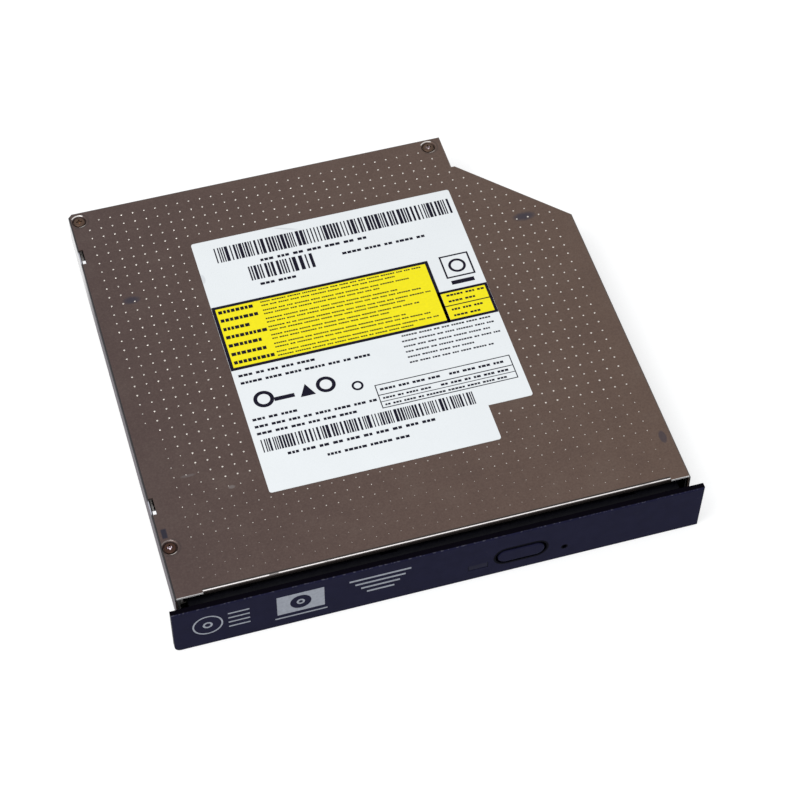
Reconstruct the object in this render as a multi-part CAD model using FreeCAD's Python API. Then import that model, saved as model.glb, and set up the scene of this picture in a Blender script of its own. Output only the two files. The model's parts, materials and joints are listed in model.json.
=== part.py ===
import FreeCAD, Part
import math
import os

# A slim internal disc drive of the laptop kind, closed, seen from the front: X runs to the right,
# Y to the rear and Z up, in millimetres. The origin is on the underside of the base pan, in the
# middle of the width, below the front edge of the top cover. The right side of the casing is
# shallow and its rear right corner is cut off at a slant. The tray carries the whole mechanism and
# the bezel, and slides out to the front on two telescopic rails.

V = FreeCAD.Vector

# The disc, and the stack of pieces beside it that gives the casing its width
disc_r = 60.0
disc_play = 0.4
recess_rim = 0.55
rail_gap = 0.15
tongue_out = 0.65
rail_sheet = 0.45
guide_sheet = 0.5
base_sheet = 0.6
seam_gap = 0.05
cover_sheet = 0.5

# Room in front of and behind the disc's recess
front_rim = 2.3
rear_room = 3.0
small_disc_r = 40.0

# Levels, from the base pan upward
shelf_z = 5.2
tray_lift = 0.6
tray_floor = 1.5
recess_depth = 2.1
small_recess_drop = 0.7
disc_lift = 1.3
headroom = 2.2

# Casing
bend_radius = 0.7
shallow_width = 25.5
step_depth = 11.5
step_ledge = 0.9
slant_depth = 36.8
left_corner_cut = 1.0
cover_flange_z = 4.0
right_flange_z = 6.6
base_lip = 1.0
wall_setback = 0.3
bead_width = 3.0
bead_height = 0.3
bead_right_inset = 14.5
bead_left_inset = 19.0
bead_shares = [0.2, 0.4, 0.6]

# Front lip of the cover
lip_left_inset = 6.8
lip_right_inset = 5.0
lip_setback = 0.35
lip_drop = 1.3
lip_radius = 0.8

# Slots in the left bend of the cover, over lugs on the base pan's wall
front_slot_y = 25.0
rear_slot_inset = 18.3
slot_length = 4.9
slot_width = 1.1
slot_skin = 0.3
slot_depth = 1.6
lug_length = 1.1
lug_drop = 0.1

# Screws of the cover, in dimples, over ears bent from the base pan
front_screw_inset = 2.2
front_screw_y = 14.7
rear_screw_inset = 2.5
rear_screw_rear = 3.4
right_screw_inset = 4.0
right_screw_rear = 3.1
dimple_depth = 0.6
dimple_floor_r = 1.6
dimple_wall_r = 1.9
dimple_rim = 0.3
dimple_rim_drop = 0.15
screw_head_r = 1.5
screw_head_h = 0.55
screw_head_bevel = 0.2
screw_shank_r = 0.8
screw_reach = 1.6
cross_length = 1.6
cross_width = 0.36
cross_depth = 0.35
cross_middle_r = 0.45
ear_width = 5.0
ear_reach = 4.0

# Threaded holes of the base pan for fixing the drive in a machine
fix_hole_r = 0.8
fix_collar_r = 1.7
fix_collar_depth = 1.45
fix_hole_z = 2.6
side_hole_front_y = 12.0
side_hole_spacing = 63.0
rear_hole_inset = 6.5
rear_hole_spacing = 20.0

# Telescopic rails, the same section on both sides
guide_drop = 0.3
rail_front_y = 3.0
left_rail_end_gap = 5.45
right_rail_end_gap = 3.3
rail_end_step = 1.0

# Tray
tray_clearance = 0.55
tray_rear_gap = 3.45
tray_front_wall = 1.4
tray_skirt_gap = 0.35
moulding_wall = 1.0
recess_chamfer = 0.3
finger_notch_r = 9.0
finger_notch_angle = 50.0

# Bezel
bezel_left_over = 2.0
bezel_right_over = 2.2
bezel_right_taper = 0.5
bezel_top_drop = 0.4
bezel_low_z = -2.8
bezel_front_y = -4.2
bezel_plate = 1.6
bezel_round = 0.35
bezel_low_round = 1.5
bezel_rim_inset = 0.8
bezel_rim_wall = 0.8
bezel_rib = 0.8
bezel_ribs = 7
rim_cut_gap = 0.3
rim_cut_side = 1.0
rim_cut_right = 1.5
hook_inset = 13.0
hook_middle_x = -12.0
hook_width = 4.0
hook_height = 0.8
hook_lift = 0.2
hook_barb = 0.5
hook_gap = 0.1
hook_pocket = 2.0
hook_reach = 1.5

# Eject button, indicator window and emergency hole in the bezel
slot_right_inset = 12.2
slot_span = 13.0
slot_low_z = 1.1
slot_high_z = 6.6
button_gap = 0.6
button_proud = 0.2
button_flange_over = 0.6
button_flange = 0.6
button_flange_gap = 0.15
button_stroke = 0.6
button_round = 0.3
stem_half_width = 2.8
stem_half_height = 1.1
stem_play = 0.4
stem_past_wall = 0.5
window_apart = 1.9
window_span = 4.8
window_low_z = 1.2
window_high_z = 2.95
window_gap = 0.12
window_sunk = 0.1
window_past_wall = 0.4
pin_hole_apart = 4.6
pin_hole_z = 1.8
pin_hole_r = 0.6

# Front board with its switch and lamp
front_board_left_over = 4.6
front_board_right_over = 2.7
front_board_low = 1.4
front_board_high = 6.2
front_board_sheet = 0.8
board_rib = 1.2
switch_width = 5.0
switch_height = 4.0
switch_body = 0.95
switch_knob = 0.4
switch_rest_gap = 0.15
lamp_half_width = 1.0
lamp_gap = 0.3

# Traverse unit, drawn along its own direction: u runs outward from the spindle under the lens,
# v across, and the unit is turned to face the front left corner
travel_angle = 225.0
chassis_rear_over = 1.8
chassis_left_over = 3.0
chassis_right_over = 6.3
chassis_left_cut = 2.6
chassis_right_cut_u = 8.4
chassis_right_cut_v = 8.9
chassis_rear_cut = 10.0
chassis_lift = 0.8
chassis_top_gap = 0.2
chassis_wall = 1.6
chassis_floor = 0.6
traverse_clearance = 0.8
traverse_cover_sheet = 0.4
traverse_cover_inset = 0.4
lens_slot_half = 8.4
lens_slot_gap = 3.0
damper_out = 3.0
damper_left_out = 4.3
damper_right_out = 4.0
damper_side_u = 30.0
damper_rear_v = -6.0
damper_r = 3.2
damper_groove_r = 2.4
damper_bore_r = 1.5
damper_gap = 0.3
damper_lift = 0.8
damper_lip = 1.0
damper_top_lip = 1.2
damper_ear = 0.8
damper_ear_r = 4.0
damper_arm = 5.0
damper_arm_half = 2.5
damper_screw_r = 0.7
damper_head_r = 2.4
damper_head_h = 0.7

# Spindle motor and turntable
motor_base_over = 0.6
motor_base_sheet = 0.6
motor_tail_half = 6.0
motor_gap = 0.35
shaft_r = 1.0
shaft_play = 0.03
shaft_end_gap = 0.1
bearing_r = 2.9
bearing_height = 2.3
rotor_inset = 2.2
rotor_sheet = 0.7
rotor_top_gap = 1.2
magnet_thick = 1.0
magnet_height = 1.6
magnet_lift = 0.05
stator_air_gap = 0.7
stator_hub_r = 4.4
stator_lift = 0.4
stator_height = 1.5
stator_plate = 0.8
stator_overlap = 0.3
stator_arm_half = 0.6
stator_shoe = 0.7
stator_shoe_half = 1.8
coil_inner_gap = 0.9
coil_outer_gap = 1.1
coil_half = 1.2
coil_count = 9
turntable_r = 14.2
turntable_neck_r = 6.0
turntable_sheet = 1.6
turntable_hole_gap = 0.8
pad_inset = 0.2
pad_width = 1.6
pad_sheet = 0.6
boss_r = 7.4
boss_height = 1.8
boss_chamfer = 0.6
claw_count = 3
claw_width = 2.8
claw_lift = 0.3
claw_height = 1.1
claw_inner_r = 4.0
claw_proud = 0.5
claw_travel = 0.7
claw_gap = 0.1
claw_end_gap = 0.3
flex_left_v = -1.5
flex_right_v = 5.0
flex_foot = 3.5
flex_ramp = 1.7
flex_end_inset = 1.1
flex_sheet = 0.2
flex_gap = 0.2

# Pickup on its two shafts, with the lead screw beside it
shaft_lift = 2.8
guide_shaft_r = 1.2
guide_play = 0.05
shaft_wall_gap = 4.7
shaft_inner_u = 7.5
shaft_seat = 0.8
post_length = 3.0
post_past_shaft = 1.7
lens_rest_u = 23.5
lens_edge_gap = 2.0
sled_below = 2.0
sled_above = 1.7
sled_inner_u = 12.0
sled_ahead = 6.0
sled_end_gap = 0.4
sled_wall_gap = 2.2
sled_past_shaft = 1.7
sled_corner = 4.5
sled_arc_gap = 1.2
lens_pocket_u = 6.4
lens_pocket_v = 7.4
lens_pocket_wall = 1.6
lens_pocket_drop = 1.7
holder_half_u = 4.6
holder_half_v = 5.4
holder_front_cut = 0.8
holder_lift = 0.7
holder_height = 2.0
lens_r = 2.3
lens_proud = 0.6
lens_crown = 0.5
lens_seat = 1.0
yoke_thick = 1.2
yoke_gap = 0.4
yoke_half_v = 3.0
screw_wall_gap = 4.1
screw_r = 1.0
screw_play = 0.05
screw_post_gap = 9.5
screw_post_length = 1.5
screw_post_half = 1.8
screw_past_post = 0.2
feed_motor_gap = 0.5
feed_motor_length = 10.0
feed_motor_half_v = 2.4
feed_motor_below = 2.2
feed_motor_above = 1.9
feed_motor_round = 1.0
feed_motor_bore_depth = 3.5
nut_gap = 0.1
nut_behind = 3.3
nut_length = 3.0
nut_height = 2.2

# Lock: a lever on the tray swings behind a stud on the base pan
stud_inset = 4.0
stud_y = 30.0
stud_r = 1.2
stud_over_lever = 0.4
stud_flange_r = 2.2
stud_flange = 0.4
pivot_from_stud_x = -7.5
pivot_from_stud_y = -6.0
pivot_r = 1.2
pivot_play = 0.05
pivot_shoulder_r = 2.4
lever_over_base = 1.4
lever_height = 2.0
lever_lift = 0.15
lever_arm_width = 2.4
lever_arm_out = 1.4
lever_tail = 4.0
lever_finger = 2.2
lever_hook_gap = 0.4
lever_hook_past = 1.0
lever_released = 20.0
solenoid_width = 8.0
solenoid_length = 12.0
solenoid_gap = 5.0
solenoid_over_base = 1.0

# Ejector at the rear of the tray
ejector_inset = 21.0
ejector_drop = 1.9
ejector_rod_r = 0.9
ejector_spring_r = 1.45
ejector_wire_r = 0.25
ejector_turns = 7
ejector_turn_steps = 12
ejector_spring_room = 14.0
ejector_rear_gap = 9.5
ejector_block = 3.0
ejector_block_width = 6.0
ejector_head_r = 1.6
ejector_head = 1.2
ejector_wall_gap = 0.3

# Main board in the rear of the base pan
board_left_inset = 6.0
board_right_inset = 2.0
board_rear_gap = 2.55
board_depth = 27.4
board_sheet = 0.8
board_lift = 0.8
board_hole_inset = 3.0
standoff_r = 2.2
board_screw_head_r = 1.5
board_screw_head_h = 0.6
insulator_sheet = 0.1
controller_depth = 18.0
controller_front = 3.0
controller_height = 1.4
chip_height = 1.0
small_part_length = 1.8
small_part_width = 1.0
small_part_height = 0.8
can_r = 1.9
can_height = 1.6

# Pieces on the main board: left side and width as shares of the board's width, then front and depth
controller_share = 0.593
controller_width_share = 0.19
chip_plans = [(0.286, 0.127, 5.0, 8.0), (0.444, 0.095, 4.0, 11.0), (0.81, 0.063, 9.0, 8.0)]
across_part_places = [(0.1, 6.0), (0.1, 8.5), (0.1, 11.0), (0.286, 1.4), (0.328, 1.4), (0.37, 1.4),
                      (0.942, 12.0), (0.942, 14.5), (0.894, 12.0)]
along_part_places = [(0.058, 6.0), (0.058, 9.5), (0.561, 5.0), (0.561, 8.5), (0.561, 12.0)]
can_places = [(0.233, 15.5), (0.233, 10.5), (0.91, 18.5)]

# Rear connector with two rows of contacts
connector_from_left = 39.0
connector_width = 27.0
connector_depth = 10.6
connector_out = 1.0
connector_height = 3.7
connector_mouth_width = 22.0
connector_mouth_height = 2.7
connector_mouth_depth = 6.0
connector_tongue = 0.9
connector_tongue_side = 0.5
connector_tongue_back = 0.8
connector_window_gap = 0.3
contact_rows = 25
contact_pitch = 0.8
contact_width = 0.35
contact_sheet = 0.15
contact_back = 1.0

# Ribbon cable from the main board to the relay board on the tray
ribbon_width = 9.0
ribbon_sheet = 0.2
ribbon_floor_gap = 0.1
ribbon_past_stud = 10.0
ribbon_ramp = 6.0
socket_margin = 0.5
socket_depth = 3.5
socket_height = 1.4
relay_width = 11.5
relay_depth = 18.5
relay_over_board = 1.5
relay_drop = 1.4
relay_sheet = 0.8
relay_post_r = 1.5

# Rating label: its edges as shares of the cover's half width and of its depth
label_left_share = 0.55
label_right_share = 0.5484
label_front_share = 0.1856
label_rear_share = 0.8446
label_notch_width = 11.7
label_notch_depth = 10.8
label_round = 0.7
label_sheet = 0.1
ink_sheet = 0.03

# Print on the label, as shares of the label's width and length
panel_front_share = 0.4705
panel_rear_share = 0.7256
panel_right_share = 0.8137
cell_rear_share = 0.5909
panel_border = 0.5
panel_rows = 7
panel_word_share = 0.118
panel_word_inset = 1.4
panel_word_height = 1.5
cell_rule = 0.4
bar_height_share = 0.06
bar_rows = [(0.0754, 0.9118, 0.9001, 44, 3), (0.1764, 0.2432, 0.8014, 12, 5), (0.0242, 0.7824, 0.1456, 38, 7)]

# Plain marks on the bezel, where the real drive has its printed signs
mark_from_left = 8.4
mark_z = 5.3
mark_ring_r = 3.7
mark_ring_width = 0.4
mark_hub_r = 1.2
mark_bar_length = 5.2
mark_bar_height = 0.45
mark_bar_pitch = 1.8
plate_mark_from_left = 31.0
plate_mark_width = 11.6
plate_mark_height = 7.4
plate_mark_r = 2.6
plate_mark_hub_r = 1.0
plate_mark_z = 5.8
plate_line_z = 0.4
plate_line_width = 12.8
fan_mark_from_left = 50.6
fan_mark_width = 15.2
fan_mark_step = 1.4
fan_mark_bars = 4
fan_mark_top_z = 9.0
fan_bar_height = 0.6
mark_bars = 4
mark_bar_from_ring = 1.3
mark_hub_width = 0.5

front_run = 10.0
disc_recess_r = disc_r + disc_play
small_recess_r = small_disc_r + disc_play
tray_half_width = disc_recess_r + recess_rim
rail_flange_x = tray_half_width + rail_gap
rail_web_x = tray_half_width + tongue_out + rail_gap + rail_sheet
inner_half_x = rail_web_x + rail_gap + guide_sheet
half_width = inner_half_x + base_sheet + seam_gap + cover_sheet
body_width = 2 * half_width
spindle_x = 0.0
spindle_y = front_rim + disc_recess_r
body_depth = spindle_y + disc_recess_r + rear_room
base_inset = cover_sheet + seam_gap
inner_inset = base_inset + base_sheet
inner_rear_y = body_depth - inner_inset
tray_inset = inner_inset + tray_clearance
deep_right_x = half_width - shallow_width
tray_right_x = deep_right_x - tray_inset
tray_rear_y = inner_rear_y - tray_rear_gap
tray_front_y = -base_lip
wall_rear_y = tray_front_y + tray_front_wall
step_y = body_depth - step_depth
slant_front_y = body_depth - slant_depth

shelf_top_z = shelf_z + base_sheet
tray_under_z = shelf_top_z + tray_lift
disc_recess_z = tray_under_z + tray_floor
small_recess_z = disc_recess_z - small_recess_drop
tray_top_z = disc_recess_z + recess_depth
cover_under_z = tray_top_z + headroom
body_height = cover_under_z + cover_sheet
tray_skirt_z = base_sheet + tray_skirt_gap
guide_low_z = shelf_top_z
guide_high_z = tray_top_z - guide_drop
disc_plane_z = disc_recess_z + disc_lift
left_rail_rear_y = inner_rear_y - left_rail_end_gap
right_rail_rear_y = slant_front_y - right_rail_end_gap

lip_left_x = -half_width + lip_left_inset
lip_right_x = half_width - lip_right_inset
slot_fronts = [front_slot_y, body_depth - rear_slot_inset]
dimple_rim_r = dimple_wall_r + dimple_rim
cover_screw_places = [(-half_width + rear_screw_inset, body_depth - rear_screw_rear),
                      (deep_right_x - right_screw_inset, body_depth - right_screw_rear),
                      (-half_width + front_screw_inset, front_screw_y)]
ear_high_z = body_height - dimple_depth - cover_sheet
ear_low_z = ear_high_z - base_sheet

plate_rear_y = bezel_front_y + bezel_plate
bezel_left_x = -half_width - bezel_left_over
bezel_right_top_x = half_width + bezel_right_over
bezel_right_low_x = bezel_right_top_x - bezel_right_taper
bezel_top_z = body_height - bezel_top_drop
bezel_rim_half = half_width - bezel_rim_inset
hook_low_z = disc_recess_z + hook_lift
hook_high_z = hook_low_z + hook_height
hook_xs = [-tray_half_width + hook_inset, hook_middle_x, tray_half_width - hook_inset]
slot_right_x = deep_right_x - slot_right_inset
slot_left_x = slot_right_x - slot_span
button_x = (slot_left_x + slot_right_x) / 2
button_z = (slot_low_z + slot_high_z) / 2
window_right_x = slot_left_x - window_apart
window_left_x = window_right_x - window_span
pin_hole_x = slot_right_x + pin_hole_apart
stem_end_y = wall_rear_y + stem_past_wall
front_board_left = window_left_x - front_board_left_over
front_board_right = slot_right_x + front_board_right_over
front_board_y = stem_end_y + button_stroke + switch_rest_gap + switch_knob + switch_body

chassis_rear_u = -turntable_r - chassis_rear_over
chassis_left_v = -turntable_r - chassis_left_over
chassis_right_v = turntable_r + chassis_right_over
chassis_low_z = base_sheet + chassis_lift
chassis_high_z = tray_under_z - chassis_top_gap
shaft_z = chassis_low_z + shaft_lift
guide_shaft_v = -chassis_left_v - shaft_wall_gap
post_v = guide_shaft_v - post_past_shaft
screw_v = chassis_right_v - screw_wall_gap
sled_left_v = chassis_left_v + sled_wall_gap
sled_right_v = guide_shaft_v + sled_past_shaft
sled_low_z = shaft_z - sled_below
sled_high_z = shaft_z + sled_above
sled_travel = disc_r - lens_edge_gap - lens_rest_u
chassis_end_u = lens_rest_u + sled_travel + sled_ahead + sled_end_gap + chassis_wall
chassis_outline = [(chassis_rear_u, chassis_left_v), (chassis_end_u - chassis_left_cut, chassis_left_v),
                   (chassis_end_u, chassis_left_v + chassis_left_cut),
                   (chassis_end_u, chassis_right_v - chassis_right_cut_v),
                   (chassis_end_u - chassis_right_cut_u, chassis_right_v),
                   (chassis_rear_u + chassis_rear_cut, chassis_right_v),
                   (chassis_rear_u, chassis_right_v - chassis_rear_cut)]
screw_post_u = chassis_end_u - screw_post_gap
damper_low_z = chassis_low_z + damper_lift
damper_ear_z = damper_low_z + damper_lip
damper_high_z = damper_ear_z + damper_ear + damper_top_lip
damper_places = [(chassis_rear_u - damper_out, damper_rear_v, 0.0),
                 (damper_side_u, chassis_right_v + damper_right_out, -90.0),
                 (damper_side_u, chassis_left_v - damper_left_out, 90.0)]
holder_low_z = shaft_z + holder_lift
holder_high_z = holder_low_z + holder_height
lens_high_z = holder_high_z + lens_proud

rotor_r = turntable_r - rotor_inset
motor_base_r = rotor_r + motor_base_over
stator_r = rotor_r - rotor_sheet - magnet_thick - stator_air_gap
sled_arc_r = rotor_r + sled_arc_gap
flex_top_u = -chassis_rear_u - chassis_wall - flex_gap
flex_foot_u = flex_top_u - flex_ramp
flex_inner_u = flex_foot_u - flex_foot
motor_base_top = chassis_low_z + chassis_floor + motor_base_sheet
rotor_low_z = motor_base_top + motor_gap
turntable_high_z = disc_plane_z - pad_sheet
turntable_low_z = turntable_high_z - turntable_sheet
rotor_high_z = turntable_low_z - rotor_top_gap
stator_low_z = motor_base_top + stator_lift
stator_high_z = stator_low_z + stator_height
boss_high_z = disc_plane_z + boss_height
pad_outer_r = turntable_r - pad_inset
pad_inner_r = pad_outer_r - pad_width
claw_low_z = disc_plane_z + claw_lift
claw_high_z = claw_low_z + claw_height

lever_low_z = base_sheet + lever_over_base
lever_high_z = lever_low_z + lever_height
stud_x = deep_right_x - stud_inset
stud_high_z = lever_high_z + stud_over_lever
pivot_x = stud_x + pivot_from_stud_x
pivot_y = stud_y + pivot_from_stud_y

ejector_x = -half_width + ejector_inset
ejector_z = tray_under_z - ejector_drop
ejector_rear_y = tray_rear_y - ejector_rear_gap
ejector_front_y = ejector_rear_y - ejector_spring_room

board_low_z = base_sheet + board_lift
board_high_z = board_low_z + board_sheet
board_left = -half_width + board_left_inset
board_right = deep_right_x - board_right_inset
board_width = board_right - board_left
board_rear = inner_rear_y - board_rear_gap
board_front = board_rear - board_depth
standoff_places = [(board_left + board_hole_inset, board_front + board_hole_inset),
                   (board_right - 5 * board_hole_inset, board_front + board_hole_inset),
                   (board_left + board_hole_inset, board_rear - board_hole_inset),
                   (board_right - board_hole_inset, board_rear - board_hole_inset)]
connector_x = board_left + connector_from_left
connector_rear_y = body_depth + connector_out
connector_middle_z = board_high_z + connector_height / 2

ribbon_right = board_right - socket_margin
ribbon_left = ribbon_right - ribbon_width
relay_low_z = tray_under_z - relay_drop
relay_left = board_right - relay_width
relay_rear = board_front + relay_over_board
relay_front = relay_rear - relay_depth
ribbon_fold_y = stud_y + ribbon_past_stud
relay_middle_x = (relay_left + board_right) / 2
relay_middle_y = (relay_front + relay_rear) / 2
flex_reach = ((spindle_x - relay_middle_x) * math.cos(math.radians(travel_angle))
              + (spindle_y - relay_middle_y) * math.sin(math.radians(travel_angle)) - flex_end_inset)

label_left = -label_left_share * half_width
label_right = label_right_share * half_width
label_front = label_front_share * body_depth
label_rear = label_rear_share * body_depth
label_width = label_right - label_left
label_length = label_rear - label_front
label_notch_x = label_right - label_notch_width
label_notch_y = label_front + label_notch_depth
label_top_z = body_height + label_sheet
panel_front = label_front + panel_front_share * label_length
panel_rear = label_front + panel_rear_share * label_length
panel_right = label_left + panel_right_share * label_width
cell_rear = label_front + cell_rear_share * label_length


def box(x0, x1, y0, y1, z0, z1):
    return Part.makeBox(x1 - x0, y1 - y0, z1 - z0, V(x0, y0, z0))


def disc(x, y, z0, z1, radius):
    return Part.makeCylinder(radius, z1 - z0, V(x, y, z0))


def rod_x(x0, x1, y, z, radius):
    return Part.makeCylinder(radius, x1 - x0, V(x0, y, z), V(1, 0, 0))


def rod_y(x, y0, y1, z, radius):
    return Part.makeCylinder(radius, y1 - y0, V(x, y0, z), V(0, 1, 0))


def outline_wire(points, z):
    corners = [V(x, y, z) for x, y in points]
    return Part.makePolygon(corners + corners[:1])


def prism(points, z0, z1, grow=0.0):
    wire = outline_wire(points, z0)
    if grow:
        wire = wire.makeOffset2D(grow, 2)
    return Part.Face(wire).extrude(V(0, 0, z1 - z0))


def pill_y(x0, x1, z0, z1, y0, y1):
    """A slot or stadium in the X-Z plane, with round ends, run along Y."""
    radius = (z1 - z0) / 2
    middle = (z0 + z1) / 2
    body = box(x0 + radius, x1 - radius, y0, y1, z0, z1)
    ends = [rod_y(x0 + radius, y0, y1, middle, radius), rod_y(x1 - radius, y0, y1, middle, radius)]
    return body.fuse(ends).removeSplitter()


def turned(profile):
    """A solid turned about the Z axis from a profile of (radius, z) points."""
    corners = [V(r, 0, z) for r, z in profile]
    face = Part.Face(Part.makePolygon(corners + corners[:1]))
    return face.revolve(V(0, 0, 0), V(0, 0, 1), 360)


def ring(inner, outer, z0, z1):
    return turned([(inner, z0), (outer, z0), (outer, z1), (inner, z1)])


def edges_along(solid, direction, keep=lambda edge: True):
    """The straight edges of a solid that run along a direction and that keep() accepts."""
    found = []
    for edge in solid.Edges:
        if not isinstance(edge.Curve, Part.Line):
            continue
        if abs(abs(edge.Curve.Direction.dot(direction)) - 1) < 1e-6 and keep(edge):
            found.append(edge)
    return found


def at_spindle(shape):
    """Turns a shape drawn in u and v to the travel direction, with its origin on the spindle."""
    placed = shape.copy()
    placed.rotate(V(0, 0, 0), V(0, 0, 1), travel_angle)
    placed.translate(V(spindle_x, spindle_y, 0))
    return placed


def casing(inset, z0, z1):
    """The plan of the casing, drawn in by an inset, from z0 to z1. It runs on past the front."""
    points = [(-half_width, -front_run), (half_width, -front_run), (half_width, slant_front_y),
              (deep_right_x + step_ledge, step_y), (deep_right_x, step_y), (deep_right_x, body_depth),
              (-half_width + left_corner_cut, body_depth), (-half_width, body_depth - left_corner_cut)]
    return prism(points, z0, z1, -inset)


def deep_part(right_x, z0, z1):
    return box(-half_width, right_x, -front_run, body_depth, z0, z1)


def connector_window(grow):
    left = connector_x - connector_width / 2 - grow
    right = connector_x + connector_width / 2 + grow
    top = board_high_z + connector_height + grow
    return box(left, right, inner_rear_y - grow, body_depth + grow, board_high_z - grow, top)


def make_top_cover():
    outer = casing(0, cover_flange_z, body_height)
    top_edges = [edge for edge in outer.Edges
                 if abs(edge.BoundBox.ZMin - body_height) < 1e-6 and edge.BoundBox.YMax > -front_run + 1]
    cover = outer.makeFillet(bend_radius, top_edges)
    cover = cover.cut(casing(cover_sheet, 0, cover_under_z))
    cover = cover.cut(box(-body_width, body_width, -2 * front_run, 0, 0, body_height))
    cover = cover.cut(box(deep_right_x, body_width, 0, step_y, 0, right_flange_z))
    cover = cover.cut(box(lip_left_x, lip_right_x, -front_run, lip_setback + lip_radius, 0, body_height))
    cover = cover.fuse(make_front_lip())
    for x, y in cover_screw_places:
        under = disc(x, y, ear_high_z, cover_under_z, dimple_rim_r + cover_sheet)
        cover = cover.fuse(under.common(casing(0, 0, cover_under_z)))
        cover = cover.cut(make_dimple(x, y))
        cover = cover.cut(disc(x, y, 0, body_height, screw_shank_r))
    for front_y in slot_fronts:
        left_x = -half_width + slot_skin
        cover = cover.cut(box(left_x, left_x + slot_width, front_y, front_y + slot_length,
                              body_height - slot_depth, body_height))
    return cover.cut(connector_window(connector_window_gap)).removeSplitter()


def make_dimple(x, y):
    """The hollow of a dimple for one screw head, with a softened rim."""
    floor_z = body_height - dimple_depth
    hollow = turned([(0, floor_z), (dimple_floor_r, floor_z), (dimple_wall_r, body_height - dimple_rim_drop),
                     (dimple_rim_r, body_height), (0, body_height)])
    hollow.translate(V(x, y, 0))
    return hollow


def make_front_lip():
    low_z = body_height - lip_drop
    rear_y = lip_setback + lip_radius
    lip = box(lip_left_x, lip_right_x, lip_setback, rear_y, low_z, body_height)
    lip = lip.cut(box(lip_left_x, lip_right_x, lip_setback + cover_sheet, rear_y, low_z, cover_under_z))
    bend = edges_along(lip, V(1, 0, 0), lambda edge: edge.BoundBox.ZMin > body_height - 1e-6
                       and edge.BoundBox.YMax < lip_setback + 1e-6)
    return lip.makeFillet(lip_radius - 0.01, bend)


def make_base_pan():
    deep_x = deep_right_x - base_inset
    pan = casing(base_inset, 0, cover_under_z).common(deep_part(deep_x, 0, cover_under_z))
    pan = pan.fuse(casing(base_inset, shelf_z, cover_under_z))
    pan = pan.cut(casing(inner_inset, base_sheet, cover_under_z).common(
        deep_part(deep_x - base_sheet, base_sheet, cover_under_z)))
    pan = pan.cut(casing(inner_inset, shelf_top_z, cover_under_z))
    pan = pan.cut(box(-body_width, body_width, -2 * front_run, -base_lip, 0, body_height))
    pan = pan.cut(box(-body_width, deep_x, -base_lip, wall_setback, base_sheet, body_height))
    pan = pan.cut(box(deep_x, body_width, -base_lip, wall_setback, shelf_top_z, body_height))
    for share in bead_shares:
        y = share * body_depth
        pan = pan.fuse(make_bead(y, bead_width / 2, base_sheet, base_sheet + bead_height))
        pan = pan.cut(make_bead(y, bead_width / 2 - bead_height, 0, bead_height))
    for x, y in cover_screw_places:
        pan = pan.cut(disc(x, y, ear_high_z, body_height, dimple_rim_r + cover_sheet + seam_gap))
        pan = pan.fuse(make_ear(x, y))
        pan = pan.cut(disc(x, y, ear_low_z, ear_high_z, screw_shank_r))
    inner_x = -inner_half_x
    for y in (side_hole_front_y, side_hole_front_y + side_hole_spacing):
        pan = pan.fuse(rod_x(inner_x, inner_x + fix_collar_depth, y, fix_hole_z, fix_collar_r))
        pan = pan.cut(rod_x(-half_width, inner_x + fix_collar_depth, y, fix_hole_z, fix_hole_r))
    collar_y = inner_rear_y - fix_collar_depth
    rear_hole_x = deep_right_x - rear_hole_inset
    for x in (rear_hole_x - rear_hole_spacing, rear_hole_x):
        pan = pan.fuse(rod_y(x, collar_y, inner_rear_y, fix_hole_z, fix_collar_r))
        pan = pan.cut(rod_y(x, collar_y, body_depth, fix_hole_z, fix_hole_r))
    for x, y in standoff_places:
        pan = pan.fuse(disc(x, y, base_sheet, board_low_z, standoff_r))
        pan = pan.cut(disc(x, y, base_sheet / 2, board_low_z, screw_shank_r))
    pan = pan.cut(disc(stud_x, stud_y, 0, base_sheet, stud_r))
    pan = pan.cut(connector_window(connector_window_gap))
    for front_y in slot_fronts:
        pan = pan.cut(box(-half_width, inner_x, front_y + lug_length, front_y + slot_length,
                          body_height - slot_depth, body_height))
        pan = pan.fuse(make_lug(front_y))
    return pan.removeSplitter()


def make_bead(y, radius, z0, z1):
    """A stiffening bead across the floor, raised from below, with round ends."""
    left_x = -half_width + bead_left_inset
    right_x = deep_right_x - bead_right_inset
    bead = box(left_x, right_x, y - radius, y + radius, z0, z1)
    return bead.fuse([disc(left_x, y, z0, z1, radius), disc(right_x, y, z0, z1, radius)])


def make_lug(front_y):
    """A small lug on top of the left wall, at the front end of a slot in the cover."""
    left_x = -half_width + base_inset
    right_x = -half_width + slot_skin + slot_width - seam_gap
    return box(left_x, right_x, front_y + seam_gap, front_y + lug_length, cover_under_z - seam_gap,
               body_height - lug_drop)


def make_ear(x, y):
    """A flat ear at the top of the base pan's wall, for one screw of the cover."""
    if x < 0:
        inner_x = -inner_half_x
        return box(inner_x, inner_x + ear_reach, y - ear_width / 2, min(y + ear_width / 2, inner_rear_y),
                   ear_low_z, ear_high_z)
    return box(x - ear_width / 2, x + ear_width / 2, inner_rear_y - ear_reach, inner_rear_y,
               ear_low_z, ear_high_z)


def make_cover_screws():
    screws = []
    seat_z = body_height - dimple_depth
    top_z = seat_z + screw_head_h
    half = cross_length / 2
    thin = cross_width / 2
    bevel = screw_head_bevel
    for x, y in cover_screw_places:
        head = turned([(0, seat_z), (screw_head_r, seat_z), (screw_head_r, top_z - bevel),
                       (screw_head_r - bevel, top_z), (0, top_z)])
        head.translate(V(x, y, 0))
        for across, along in ((half, thin), (thin, half)):
            head = head.cut(box(x - across, x + across, y - along, y + along, top_z - cross_depth, top_z))
        head = head.cut(disc(x, y, top_z - cross_depth, top_z, cross_middle_r))
        screws.append(head.fuse(disc(x, y, seat_z - screw_reach, seat_z, screw_shank_r)))
    return Part.makeCompound(screws)


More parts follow.
